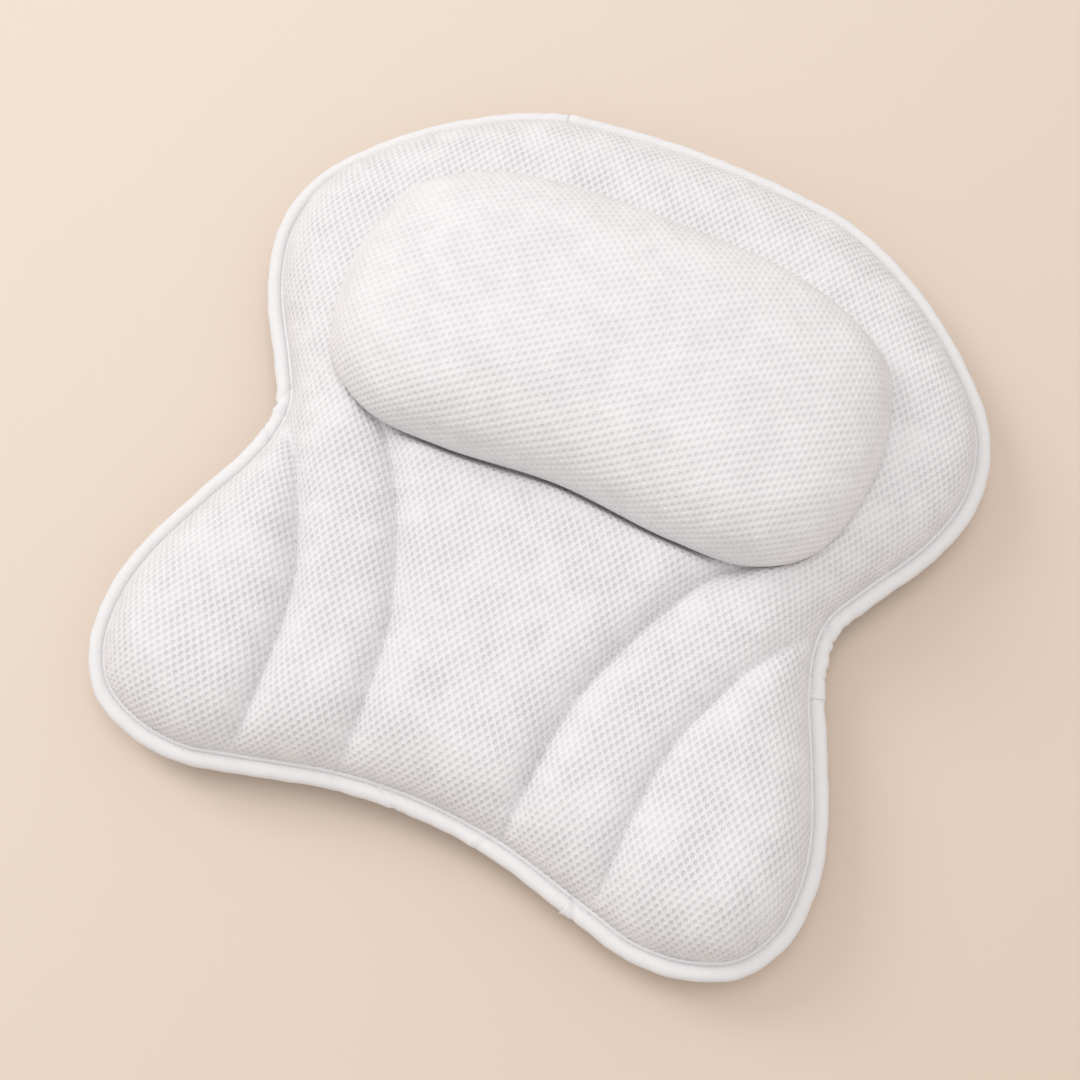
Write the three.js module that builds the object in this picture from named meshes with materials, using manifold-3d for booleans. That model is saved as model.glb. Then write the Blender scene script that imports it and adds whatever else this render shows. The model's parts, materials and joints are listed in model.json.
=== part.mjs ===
// Bath pillow: a butterfly cushion of white air mesh with a raised neck bolster and six suction cups.
// Millimetres, +Z up. The origin is on the floor under the middle of the pillow, +Y is the head end.
import * as THREE from 'three';
import { mergeVertices } from 'three/addons/utils/BufferGeometryUtils.js';
import Module from 'manifold-3d';

const wasm = await Module();
wasm.setup();

// Cushion: overall size, cloth and the height of its swelling.
const WIDTH = 430;
const HEIGHT = 444;
const STAND_HEIGHT = 22;
const BACK_THICKNESS = 2;
const COVER_THICKNESS = 2;
const TAPE_WIDTH = 9.6;
const TAPE_THICKNESS = 1.4;
const CROWN_HEIGHT = 33;
const EDGE_REACH = 44;
const SEAM_REACH = 27;
const SEAM_PINCH_SHARE = 0.3;

// Bolster: it stands on a level part of the cushion, the seat. Its margins are to the cushion's sides and
// top and to the level of the waist's notches.
const BOLSTER_SIDE_MARGIN = 64;
const BOLSTER_TOP_MARGIN = 74;
const BOLSTER_WAIST_MARGIN = 9.75;
const BOLSTER_HEIGHT = 56;
const SEAT_HEIGHT = 26;
const SEAT_REACH = 22;
const SEAT_SHARE = 0.955;

// Suction cups, each a mushroom head pushed through an eyelet in the back cover.
const CUP_DIAMETER = 56;
const CUP_RIM_WIDTH = 3;
const CUP_RIM_THICKNESS = 1.2;
const CUP_DISH_HEIGHT = 11;
const CUP_HOLLOW_HEIGHT = 6.5;
const CUP_SHOULDER_DIAMETER = 17;
const CUP_NECK_DIAMETER = 10;
const CUP_HEAD_DIAMETER = 16;
const CUP_HEAD_HEIGHT = 4;
const TAB_LENGTH = 7;
const TAB_WIDTH = 11;
const TAB_THICKNESS = 1.6;
const TAB_LIFT = 0.6;
const EYELET_DIAMETER = 21;
const EYELET_FLANGE_THICKNESS = 1.2;
const EYELET_WALL = 1.1;
const EYELET_LIP_DIAMETER = 17;
const EYELET_LIP_THICKNESS = 0.9;
const WASHER_THICKNESS = 1.2;

// Clearances: between pieces that touch, and round the fittings sunk into the filling.
const GAP = 0.3;
const RECESS_CLEARANCE = 0.6;
const CUT_OVERRUN = 2;
const WELD = 0.002;

// Right half of the outline, from the top centre to the bottom centre: shares of half the width and height.
const OUTLINE_SHARES = [
  [0, 1], [0.22, 0.99], [0.44, 0.957], [0.645, 0.858], [0.823, 0.718], [0.966, 0.54], [1, 0.37],
  [0.953, 0.196], [0.833, 0], [0.79, -0.075], [0.782, -0.125], [0.787, -0.175], [0.812, -0.26],
  [0.86, -0.37], [0.93, -0.55], [0.952, -0.67], [0.936, -0.817], [0.864, -0.929], [0.74, -0.987],
  [0.593, -1], [0.465, -0.973], [0.21, -0.914], [0, -0.897],
];
// Steps along these shares to the notch and to the feet of the channel seams.
const NOTCH_STEPS = 10;
const OUTER_FOOT_STEPS = 20;
const INNER_FOOT_STEPS = 21;

// Right half of the bolster's widest outline: shares of half its width and depth.
const BOLSTER_SHARES = [
  [0, 1], [0.49, 0.96], [0.768, 0.808], [0.93, 0.58], [1, 0.2], [1.01, -0.2], [0.925, -0.72],
  [0.73, -0.965], [0.44, -1], [0, -0.94],
];
// Steps along these shares to the heads of the inner channel seams.
const SEAM_HEAD_STEPS = 7;

// The bolster's side from its seam to its top: shares of the outline and of the height.
const BOLSTER_SIDE_SHARES = [
  [0.93, 0], [0.985, 0.12], [1, 0.27], [0.968, 0.44], [0.912, 0.61], [0.795, 0.77], [0.61, 0.895],
  [0.35, 0.972],
];

// The channel seams between their two ends: shares of the way across and of the way down.
const OUTER_SEAM_SHARES = [
  [0.23, 0.075], [0.49, 0.19], [0.73, 0.35], [0.88, 0.47], [0.97, 0.63], [1.01, 0.84],
];
const INNER_SEAM_SHARES = [
  [0.26, 0.1], [0.51, 0.24], [0.69, 0.37], [0.85, 0.51], [0.95, 0.67], [1, 0.88],
];

// Places of the right-hand cups: shares of the way down and across the panel that each one is under.
const CUP_SHARES = { wing: [0.28, 0.06], channel: [0.2, 0.5], lobe: [0.6, 0.54] };

// Steps along each stretch of the outline and across each panel.
const WING_STEPS = 15;
const LOBE_STEPS = 12;
const CHANNEL_STEPS = 5;
const CENTRE_STEPS = 4;
const BOLSTER_STEPS = 36;
const FINE_STEPS = 400;
const ROUND_SIDES = 16;

// Levels from the floor up.
const BACK_TOP = STAND_HEIGHT + BACK_THICKNESS;
const HEM_BOTTOM = BACK_TOP + GAP;
const HEM_TOP = HEM_BOTTOM + COVER_THICKNESS;
const SEAT_TOP = HEM_TOP + SEAT_HEIGHT;
const FLANGE_BOTTOM = STAND_HEIGHT - GAP - EYELET_FLANGE_THICKNESS;
const WASHER_TOP = BACK_TOP + GAP + WASHER_THICKNESS;
const LIP_TOP = WASHER_TOP + GAP + EYELET_LIP_THICKNESS;
const HEAD_BOTTOM = LIP_TOP + GAP;
const HEAD_TOP = HEAD_BOTTOM + CUP_HEAD_HEIGHT;

const BOLSTER_WIDTH = WIDTH - 2 * BOLSTER_SIDE_MARGIN;
const BOLSTER_TOP = HEIGHT / 2 - BOLSTER_TOP_MARGIN;
const BOLSTER_BOTTOM = (HEIGHT / 2) * OUTLINE_SHARES[NOTCH_STEPS][1] + BOLSTER_WAIST_MARGIN;
const BOLSTER_DEPTH = BOLSTER_TOP - BOLSTER_BOTTOM;
const BOLSTER_Y = (BOLSTER_TOP + BOLSTER_BOTTOM) / 2;

const mirrored = (point) => new THREE.Vector2(-point.x, point.y);
const between = (a, b, share) => new THREE.Vector2().lerpVectors(a, b, share);
const sized = (shares, halfX, halfY) => shares.map(([x, y]) => new THREE.Vector2(x * halfX, y * halfY));

function smoothCurve(points, closed) {
  const spatial = points.map((point) => new THREE.Vector3(point.x, point.y, 0));
  return new THREE.CatmullRomCurve3(spatial, closed, 'centripetal');
}

// A closed symmetric curve through a right half that starts and ends on the middle line.
function symmetricCurve(half) {
  return smoothCurve([...half, ...half.slice(1, -1).reverse().map(mirrored)], true);
}

// Points at even distances along a curve, from one parameter to another.
function evenPoints(curve, from, to, steps) {
  const fine = [];
  for (let i = 0; i <= FINE_STEPS; i += 1) {
    const point = curve.getPoint(from + ((to - from) * i) / FINE_STEPS);
    fine.push(new THREE.Vector2(point.x, point.y));
  }
  const travelled = [0];
  for (let i = 1; i <= FINE_STEPS; i += 1) {
    travelled.push(travelled[i - 1] + fine[i].distanceTo(fine[i - 1]));
  }
  const points = [];
  let next = 1;
  for (let i = 0; i <= steps; i += 1) {
    const goal = (travelled[FINE_STEPS] * i) / steps;
    while (next < FINE_STEPS && travelled[next] < goal) next += 1;
    const share = (goal - travelled[next - 1]) / (travelled[next] - travelled[next - 1]);
    points.push(between(fine[next - 1], fine[next], share));
  }
  return points;
}

// Even points along a closed curve, from one of its control points to another.
function stretch(curve, from, to, steps) {
  const count = curve.points.length;
  return evenPoints(curve, from / count, to / count, steps);
}

// Joins stretches that share end points, and mirrors them to a closed ring, clockwise from the top.
function ringFromStretches(stretches) {
  const half = stretches.flatMap((points, i) => (i ? points.slice(1) : points));
  return [...half, ...half.slice(1, -1).reverse().map(mirrored)];
}

// The ring moved inwards, square to itself.
function insetRing(ring, distance) {
  return ring.map((point, i) => {
    const before = ring[(i + ring.length - 1) % ring.length];
    const after = ring[(i + 1) % ring.length];
    const along = after.clone().sub(before).normalize();
    return new THREE.Vector2(point.x + along.y * distance, point.y - along.x * distance);
  });
}

function seamCurve(head, foot, shares, steps) {
  const middle = shares.map(([across, down]) => (
    new THREE.Vector2(head.x + (foot.x - head.x) * across, head.y + (foot.y - head.y) * down)
  ));
  return evenPoints(smoothCurve([head, ...middle, foot], false), 0, 1, steps);
}

// Plan of the cushion: its outline, the tape's inner lip, the bolster's seat and the four channel seams.
const outlineCurve = symmetricCurve(sized(OUTLINE_SHARES, WIDTH / 2, HEIGHT / 2));
const outline = ringFromStretches([
  stretch(outlineCurve, 0, NOTCH_STEPS, WING_STEPS),
  stretch(outlineCurve, NOTCH_STEPS, OUTER_FOOT_STEPS, LOBE_STEPS),
  stretch(outlineCurve, OUTER_FOOT_STEPS, INNER_FOOT_STEPS, CHANNEL_STEPS),
  stretch(outlineCurve, INNER_FOOT_STEPS, OUTLINE_SHARES.length - 1, CENTRE_STEPS),
]);
const notchAt = WING_STEPS;
const outerFootAt = notchAt + LOBE_STEPS;
const innerFootAt = outerFootAt + CHANNEL_STEPS;
const bottomAt = innerFootAt + CENTRE_STEPS;
const hem = insetRing(outline, TAPE_THICKNESS + GAP);
const lip = insetRing(outline, TAPE_WIDTH + GAP);

const bolsterCurve = symmetricCurve(sized(BOLSTER_SHARES, BOLSTER_WIDTH / 2, BOLSTER_DEPTH / 2));
const seatPoint = (point) => new THREE.Vector2(point.x * SEAT_SHARE, point.y * SEAT_SHARE + BOLSTER_Y);
const bolsterEnd = BOLSTER_SHARES.length - 1;
const seatAbove = stretch(bolsterCurve, 0, SEAM_HEAD_STEPS, WING_STEPS).map(seatPoint);
const seatBelow = stretch(bolsterCurve, SEAM_HEAD_STEPS, bolsterEnd, CENTRE_STEPS).map(seatPoint);
const seat = ringFromStretches([seatAbove, seatBelow]);

const outerSeam = seamCurve(lip[notchAt], lip[outerFootAt], OUTER_SEAM_SHARES, LOBE_STEPS);
const innerSeam = seamCurve(seatBelow[0], lip[innerFootAt], INNER_SEAM_SHARES, LOBE_STEPS);
const seams = [outerSeam, innerSeam, outerSeam.map(mirrored), innerSeam.map(mirrored)];

function distanceToLine(point, line, closed) {
  let least = Infinity;
  const last = closed ? line.length : line.length - 1;
  const along = new THREE.Vector2();
  const offset = new THREE.Vector2();
  for (let i = 0; i < last; i += 1) {
    along.subVectors(line[(i + 1) % line.length], line[i]);
    offset.subVectors(point, line[i]);
    const share = THREE.MathUtils.clamp(offset.dot(along) / along.lengthSq(), 0, 1);
    least = Math.min(least, offset.addScaledVector(along, -share).length());
  }
  return least;
}

function isInside(point, ring) {
  let inside = false;
  ring.forEach((a, i) => {
    const b = ring[(i + 1) % ring.length];
    const crosses = (a.y > point.y) !== (b.y > point.y);
    if (crosses && point.x < a.x + ((point.y - a.y) * (b.x - a.x)) / (b.y - a.y)) inside = !inside;
  });
  return inside;
}

// A quarter round: from 0 at a held edge to 1 at the full reach.
const swelling = (share) => Math.sqrt(1 - (1 - Math.min(share, 1)) ** 2);

// Height of the cushion's upper face: crowned, drawn in at the tape, the seams and the bolster's seat.
function coverTop(point) {
  if (isInside(point, seat)) return SEAT_TOP;
  if (!isInside(point, lip)) return HEM_TOP;
  let puff = swelling(distanceToLine(point, lip, true) / EDGE_REACH);
  for (const seam of seams) {
    const open = swelling(distanceToLine(point, seam, false) / SEAM_REACH);
    puff *= SEAM_PINCH_SHARE + (1 - SEAM_PINCH_SHARE) * open;
  }
  const away = THREE.MathUtils.smoothstep(distanceToLine(point, seat, true) / SEAT_REACH, 0, 1);
  return THREE.MathUtils.lerp(SEAT_TOP, HEM_TOP + CROWN_HEIGHT * puff, away);
}

// Grid of points filling the space between four sides: rows run from left to right, top first.
function panel(left, right, top, bottom) {
  const rows = left.length - 1;
  const columns = top.length - 1;
  return left.map((start, i) => top.map((head, j) => {
    const down = i / rows;
    const across = j / columns;
    const level = between(start, right[i], across);
    const upright = between(head, bottom[j], down);
    const upper = between(top[0], top[columns], across);
    const corners = between(upper, between(bottom[0], bottom[columns], across), down);
    return level.add(upright).sub(corners);
  }));
}

// The point at shares of the way down and across a grid.
function panelPoint(grid, down, across) {
  const alongRow = (row) => {
    const j = Math.floor(across * (row.length - 1));
    return between(row[j], row[j + 1], across * (row.length - 1) - j);
  };
  const i = Math.floor(down * (grid.length - 1));
  return between(alongRow(grid[i]), alongRow(grid[i + 1]), down * (grid.length - 1) - i);
}

const straight = (a, b, steps) => Array.from({ length: steps + 1 }, (_, i) => between(a, b, i / steps));
const still = (point, steps) => Array.from({ length: steps + 1 }, () => point);
const flipped = (grid) => grid.map((row) => row.map(mirrored).reverse());

// Panels of the cushion's plan, the right-hand ones first.
const waistLine = straight(seatBelow[0], lip[notchAt], CHANNEL_STEPS);
const lobePanel = panel(
  outerSeam,
  lip.slice(notchAt, outerFootAt + 1),
  still(lip[notchAt], CHANNEL_STEPS),
  still(lip[outerFootAt], CHANNEL_STEPS),
);
const channelPanel = panel(
  innerSeam,
  outerSeam,
  waistLine,
  lip.slice(outerFootAt, innerFootAt + 1).reverse(),
);
const centrePanel = panel(
  innerSeam.map(mirrored),
  innerSeam,
  [...seatBelow.map(mirrored), ...seatBelow.slice(0, -1).reverse()],
  lip.slice(innerFootAt, bottomAt + CENTRE_STEPS + 1).reverse(),
);
const wingPanel = panel(
  [...seatAbove.slice(1).reverse(), ...seatAbove.map(mirrored)],
  [...lip.slice(1, notchAt + 1).reverse(), ...lip.slice(0, notchAt + 1).map(mirrored)],
  waistLine,
  waistLine.map(mirrored),
);
const hemPanel = [...hem, hem[0]].map((point, i) => [lip[i % lip.length], point]);
const seatMiddle = new THREE.Vector2(0, BOLSTER_Y);
const seatPanel = [...seat, seat[0]].map((point) => [seatMiddle, point]);

// A closed solid over grids of plan points, between a lower and an upper height.
function slab(grids, topOf, bottomOf) {
  const plan = [];
  const indexOf = (point) => {
    const known = plan.findIndex((other) => other.distanceTo(point) < WELD);
    return known < 0 ? plan.push(point) - 1 : known;
  };
  const faces = [];
  const addFace = (a, b, c) => {
    if (a === b || b === c || c === a) return;
    const turn = plan[b].clone().sub(plan[a]).cross(plan[c].clone().sub(plan[a]));
    faces.push(turn > 0 ? [a, b, c] : [a, c, b]);
  };
  for (const grid of grids) {
    for (let i = 0; i + 1 < grid.length; i += 1) {
      for (let j = 0; j + 1 < grid[i].length; j += 1) {
        const [a, b, c, d] = [grid[i][j], grid[i][j + 1], grid[i + 1][j + 1], grid[i + 1][j]].map(indexOf);
        addFace(a, b, c);
        addFace(a, c, d);
      }
    }
  }
  const sides = new Map();
  for (const face of faces) {
    face.forEach((a, i) => {
      const b = face[(i + 1) % 3];
      if (!sides.delete(`${b},${a}`)) sides.set(`${a},${b}`, [a, b]);
    });
  }
  const count = plan.length;
  const index = [
    ...faces.flat(),
    ...faces.flatMap(([a, b, c]) => [a + count, c + count, b + count]),
    ...[...sides.values()].flatMap(([a, b]) => [b, a, a + count, b, a + count, b + count]),
  ];
  const upper = plan.flatMap((point) => [point.x, point.y, topOf(point)]);
  const lower = plan.flatMap((point) => [point.x, point.y, bottomOf(point)]);
  return fromArrays([...upper, ...lower], index);
}

function fromArrays(positions, index) {
  const geometry = new THREE.BufferGeometry();
  geometry.setAttribute('position', new THREE.Float32BufferAttribute(positions, 3));
  geometry.setIndex(index);
  return geometry;
}

// A closed surface through rings of points. A ring of one point closes an end; without one at the start,
// the last ring joins the first.
function skin(rings) {
  const positions = rings.flat().flatMap((point) => [point.x, point.y, point.z]);
  const starts = [];
  rings.reduce((start, ring) => {
    starts.push(start);
    return start + ring.length;
  }, 0);
  const capped = rings[0].length === 1;
  const index = [];
  for (let i = 0; i < rings.length - (capped ? 1 : 0); i += 1) {
    const next = (i + 1) % rings.length;
    const sides = Math.max(rings[i].length, rings[next].length);
    for (let j = 0; j < sides; j += 1) {
      const a = starts[i] + (j % rings[i].length);
      const b = starts[i] + ((j + 1) % rings[i].length);
      const c = starts[next] + ((j + 1) % rings[next].length);
      const d = starts[next] + (j % rings[next].length);
      if (a !== b) index.push(a, b, c);
      if (c !== d) index.push(a, c, d);
    }
  }
  return facingOut(fromArrays(positions, index));
}

// Turns a closed geometry so that its faces point outwards.
function facingOut(geometry) {
  const position = geometry.attributes.position;
  const order = geometry.index.array;
  const [a, b, c] = [new THREE.Vector3(), new THREE.Vector3(), new THREE.Vector3()];
  let volume = 0;
  for (let i = 0; i < order.length; i += 3) {
    a.fromBufferAttribute(position, order[i]);
    b.fromBufferAttribute(position, order[i + 1]);
    c.fromBufferAttribute(position, order[i + 2]);
    volume += a.dot(b.cross(c));
  }
  if (volume < 0) {
    for (let i = 0; i < order.length; i += 3) [order[i + 1], order[i + 2]] = [order[i + 2], order[i + 1]];
  }
  return geometry;
}

function welded(geometry) {
  const plain = geometry.clone();
  plain.deleteAttribute('normal');
  plain.deleteAttribute('uv');
  return mergeVertices(plain);
}

function toManifold(geometry) {
  const solid = welded(geometry);
  const vertProperties = new Float32Array(solid.attributes.position.array);
  const triVerts = new Uint32Array(solid.index.array);
  return new wasm.Manifold(new wasm.Mesh({ numProp: 3, vertProperties, triVerts }));
}

function fromManifold(solid) {
  const mesh = solid.getMesh();
  return fromArrays([...mesh.vertProperties], [...mesh.triVerts]);
}

// A turned piece about the vertical axis, from a profile of radius and height.
function turned(profile) {
  const lathe = new THREE.LatheGeometry(profile.map(([r, z]) => new THREE.Vector2(r, z)), ROUND_SIDES);
  return facingOut(welded(lathe.rotateX(Math.PI / 2)));
}

function makeFrontCover() {
  const grids = [seatPanel, wingPanel, centrePanel, channelPanel, lobePanel];
  const both = [...grids, flipped(channelPanel), flipped(lobePanel), hemPanel];
  return slab(both, coverTop, (point) => coverTop(point) - COVER_THICKNESS);
}

// Points of a round hole, with the same sides as the turned pieces.
function roundHole(centre, radius) {
  return Array.from({ length: ROUND_SIDES }, (_, i) => {
    const angle = (2 * Math.PI * i) / ROUND_SIDES;
    return new THREE.Vector2(centre.x + radius * Math.cos(angle), centre.y + radius * Math.sin(angle));
  });
}

// The back cover is a flat sheet with a hole for each eyelet's barrel.
function makeBackCover(places) {
  const sheet = new THREE.Shape(hem);
  for (const place of Object.values(places)) {
    sheet.holes.push(new THREE.Path(roundHole(place, barrelRadius + GAP)));
  }
  const cover = new THREE.ExtrudeGeometry(sheet, { depth: BACK_THICKNESS, bevelEnabled: false });
  return cover.translate(0, 0, STAND_HEIGHT);
}

// The folded tape holds the edges of both covers in its slot.
function makeEdgeBinding() {
  const bottom = STAND_HEIGHT - GAP - TAPE_THICKNESS;
  const top = HEM_TOP + GAP + TAPE_THICKNESS;
  const middle = (bottom + top) / 2;
  const section = [
    [TAPE_WIDTH, top], [TAPE_THICKNESS, top], [0, middle], [TAPE_THICKNESS, bottom], [TAPE_WIDTH, bottom],
    [TAPE_WIDTH, bottom + TAPE_THICKNESS], [TAPE_THICKNESS, bottom + TAPE_THICKNESS],
    [TAPE_THICKNESS, top - TAPE_THICKNESS], [TAPE_WIDTH, top - TAPE_THICKNESS],
  ];
  return skin(section.map(([depth, z]) => (
    insetRing(outline, depth).map((point) => new THREE.Vector3(point.x, point.y, z))
  )));
}

// One ring of the bolster, drawn in from its outer face by an inset on every side.
function bolsterRing([wide, high], inset) {
  const scaleX = 1 - inset / (BOLSTER_WIDTH / 2);
  const scaleY = 1 - inset / (BOLSTER_DEPTH / 2);
  const z = SEAT_TOP + GAP + (BOLSTER_HEIGHT - inset) * high;
  const ring = evenPoints(bolsterCurve, 0, 1, BOLSTER_STEPS).slice(0, -1);
  return ring.map(({ x, y }) => new THREE.Vector3(x * wide * scaleX, BOLSTER_Y + y * wide * scaleY, z));
}

const bolsterPeak = (inset) => [new THREE.Vector3(0, BOLSTER_Y, SEAT_TOP + GAP + BOLSTER_HEIGHT - inset)];

function makeBolsterCover() {
  const outside = BOLSTER_SIDE_SHARES.map((shares) => bolsterRing(shares, 0));
  const inside = BOLSTER_SIDE_SHARES.map((shares) => bolsterRing(shares, COVER_THICKNESS));
  return skin([bolsterPeak(0), ...outside.reverse(), ...inside, bolsterPeak(COVER_THICKNESS)]);
}

function makeBolsterFill() {
  const inset = COVER_THICKNESS + GAP;
  const sides = BOLSTER_SIDE_SHARES.map((shares) => bolsterRing(shares, inset));
  return skin([[new THREE.Vector3(0, BOLSTER_Y, SEAT_TOP + GAP)], ...sides, bolsterPeak(inset)]);
}

// Inner part of a grid, away from its edges.
const inner = (grid, rows, columns) => grid.slice(rows, -rows).map((row) => row.slice(columns, -columns));

// A pad of filling under the front cover, with a recess round each fitting that reaches into it.
function makePad(grids) {
  const bottom = BACK_TOP + GAP;
  const pad = slab(grids, (point) => coverTop(point) - COVER_THICKNESS - GAP, () => bottom);
  let solid = toManifold(pad);
  for (const place of Object.values(places)) {
    const radius = EYELET_DIAMETER / 2 + RECESS_CLEARANCE;
    const low = bottom - CUT_OVERRUN;
    const high = HEAD_TOP + RECESS_CLEARANCE;
    const recess = turned([[0, low], [radius, low], [radius, high], [0, high]]);
    solid = solid.subtract(toManifold(recess.translate(place.x, place.y, 0)));
  }
  return fromManifold(solid);
}

const neckRadius = CUP_NECK_DIAMETER / 2;
const boreRadius = neckRadius + GAP;
const barrelRadius = boreRadius + EYELET_WALL;

// A cup stands on its flat rim; its head is above the eyelet and its tab breaks the seal.
function makeCup() {
  const rim = CUP_DIAMETER / 2;
  const shoulder = CUP_SHOULDER_DIAMETER / 2;
  const head = CUP_HEAD_DIAMETER / 2;
  const shoulderTop = FLANGE_BOTTOM - GAP;
  const dishShares = [[0.82, 0.5], [0.55, 0.82]];
  const outside = dishShares.map(([wide, high]) => [rim * wide, CUP_DISH_HEIGHT * high]);
  const hollow = dishShares.map(([wide, high]) => [(rim - CUP_RIM_WIDTH) * wide, CUP_HOLLOW_HEIGHT * high]);
  const cup = toManifold(turned([
    [0, CUP_HOLLOW_HEIGHT], ...hollow.reverse(), [rim - CUP_RIM_WIDTH, 0],
    [rim, 0], [rim, CUP_RIM_THICKNESS], ...outside, [shoulder, CUP_DISH_HEIGHT],
    [shoulder, shoulderTop], [neckRadius, shoulderTop], [neckRadius, HEAD_BOTTOM],
    [head, HEAD_BOTTOM], [head, HEAD_BOTTOM + CUP_HEAD_HEIGHT / 3], [neckRadius, HEAD_TOP], [0, HEAD_TOP],
  ]));
  const reach = TAB_LENGTH + CUP_RIM_WIDTH / 2;
  const tab = new THREE.BoxGeometry(TAB_WIDTH, reach, TAB_THICKNESS);
  tab.translate(0, -rim - TAB_LENGTH + reach / 2, TAB_LIFT + TAB_THICKNESS / 2);
  return fromManifold(cup.add(toManifold(tab)));
}

// The eyelet's flange is under the back cover, its barrel passes the cover and its lip holds the washer.
function makeEyelet() {
  const flange = EYELET_DIAMETER / 2;
  const flangeTop = STAND_HEIGHT - GAP;
  const lipRadius = EYELET_LIP_DIAMETER / 2;
  const lipBottom = WASHER_TOP + GAP;
  return turned([
    [boreRadius, FLANGE_BOTTOM], [flange, FLANGE_BOTTOM], [flange, flangeTop], [barrelRadius, flangeTop],
    [barrelRadius, lipBottom], [lipRadius, lipBottom], [barrelRadius, LIP_TOP], [boreRadius, LIP_TOP],
    [boreRadius, FLANGE_BOTTOM],
  ]);
}

function makeWasher() {
  const bore = barrelRadius + GAP;
  const rim = EYELET_DIAMETER / 2;
  const bottom = BACK_TOP + GAP;
  return turned([[bore, bottom], [rim, bottom], [rim, WASHER_TOP], [bore, WASHER_TOP], [bore, bottom]]);
}

function finish(color, roughness, opacity = 1) {
  const transparent = opacity < 1;
  return () => new THREE.MeshStandardMaterial({ color, roughness, metalness: 0, opacity, transparent });
}
const airMesh = finish(0xe9e8ea, 0.9);
const tapeCloth = finish(0xf4f3f3, 0.8);
const filling = finish(0xf6f4ef, 1);
const clearRubber = finish(0xdde5e8, 0.15, 0.6);
const whitePlastic = finish(0xf2f2f0, 0.35);

const pillow = new THREE.Group();

function addPiece(name, geometry, material, place) {
  const piece = new THREE.Mesh(geometry, material());
  piece.name = name;
  if (place) piece.position.set(place.x, place.y, 0);
  pillow.add(piece);
}

const places = {};
function addPlaces(row, grid, [down, across]) {
  const right = panelPoint(grid, down, across);
  places[`${row}_right`] = right;
  places[`${row}_left`] = mirrored(right);
}
addPlaces('top', wingPanel, CUP_SHARES.wing);
addPlaces('middle', channelPanel, CUP_SHARES.channel);
addPlaces('bottom', lobePanel, CUP_SHARES.lobe);

addPiece('front_cover', makeFrontCover(), airMesh);
addPiece('back_cover', makeBackCover(places), airMesh);
addPiece('edge_binding', makeEdgeBinding(), tapeCloth);
addPiece('bolster_cover', makeBolsterCover(), airMesh);
addPiece('bolster_fill', makeBolsterFill(), filling);

const headGrids = [inner(wingPanel, 1, 1).map((row, i) => [wingPanel[i + 1][0], ...row]), seatPanel];
addPiece('head_pad', makePad(headGrids), filling);
addPiece('centre_pad', makePad([inner(centrePanel, 1, 1)]), filling);
addPiece('channel_pad_right', makePad([inner(channelPanel, 1, 1)]), filling);
addPiece('channel_pad_left', makePad([flipped(inner(channelPanel, 1, 1))]), filling);
addPiece('lobe_pad_right', makePad([inner(lobePanel, 1, 1)]), filling);
addPiece('lobe_pad_left', makePad([flipped(inner(lobePanel, 1, 1))]), filling);

for (const [name, place] of Object.entries(places)) {
  addPiece(`suction_cup_${name}`, makeCup(), clearRubber, place);
  addPiece(`eyelet_${name}`, makeEyelet(), whitePlastic, place);
  addPiece(`eyelet_washer_${name}`, makeWasher(), whitePlastic, place);
}

export default pillow;
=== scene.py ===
# %% [markdown]
# # A bath pillow of white air mesh
#
# This file dresses the rigid CAD model of a bath pillow as the soft object that it is. The real one is a
# butterfly-shaped cushion of knitted spacer mesh, with a bolster for the neck, five sewn channels, a folded
# tape round its edge and six suction cups under its back. Every cell explains one piece, then makes it.
# Lengths are in metres, +Z is up, +Y is the head end, and the floor is at zero.

import json
import math
from collections import namedtuple

import bmesh
import bpy
import numpy as np
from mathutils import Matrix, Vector

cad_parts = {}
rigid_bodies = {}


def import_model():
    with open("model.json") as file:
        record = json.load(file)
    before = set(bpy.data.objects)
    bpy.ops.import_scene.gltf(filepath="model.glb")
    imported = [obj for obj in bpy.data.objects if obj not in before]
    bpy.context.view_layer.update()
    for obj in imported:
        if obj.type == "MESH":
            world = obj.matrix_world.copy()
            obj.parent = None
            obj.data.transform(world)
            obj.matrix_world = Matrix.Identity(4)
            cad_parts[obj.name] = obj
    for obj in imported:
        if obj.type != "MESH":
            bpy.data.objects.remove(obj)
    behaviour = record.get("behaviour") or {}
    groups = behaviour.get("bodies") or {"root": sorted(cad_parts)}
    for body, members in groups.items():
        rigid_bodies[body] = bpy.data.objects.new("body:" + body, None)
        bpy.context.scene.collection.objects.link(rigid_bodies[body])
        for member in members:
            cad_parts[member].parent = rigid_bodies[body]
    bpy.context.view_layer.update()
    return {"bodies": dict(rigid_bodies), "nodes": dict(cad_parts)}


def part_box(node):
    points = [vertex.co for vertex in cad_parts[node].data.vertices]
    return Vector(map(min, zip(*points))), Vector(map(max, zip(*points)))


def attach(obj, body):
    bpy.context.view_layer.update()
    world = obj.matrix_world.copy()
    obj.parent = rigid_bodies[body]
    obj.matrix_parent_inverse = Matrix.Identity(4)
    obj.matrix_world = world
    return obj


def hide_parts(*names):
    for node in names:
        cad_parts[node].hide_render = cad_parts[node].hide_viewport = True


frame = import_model()
MM = 0.001

# %% [markdown]
# ## The camera first
#
# The photograph looks down at 74 degrees, turned 23 degrees about the vertical, from about 0.82 m away. A
# lens can be found from a picture of a symmetric object: only the true place and focal length make both
# halves mirror each other. Here that gave 50 mm on a 36 mm sensor, with the picture square.

# %% Camera
CAMERA_PLACE = Vector((0.08913, -0.24356, 0.81644))
CAMERA_TARGET = Vector((-0.00034, -0.03469, 0.024))


def add_object(name, data):
    """A new object of the scene."""
    piece = bpy.data.objects.new(name, data)
    bpy.context.scene.collection.objects.link(piece)
    return piece


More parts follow.
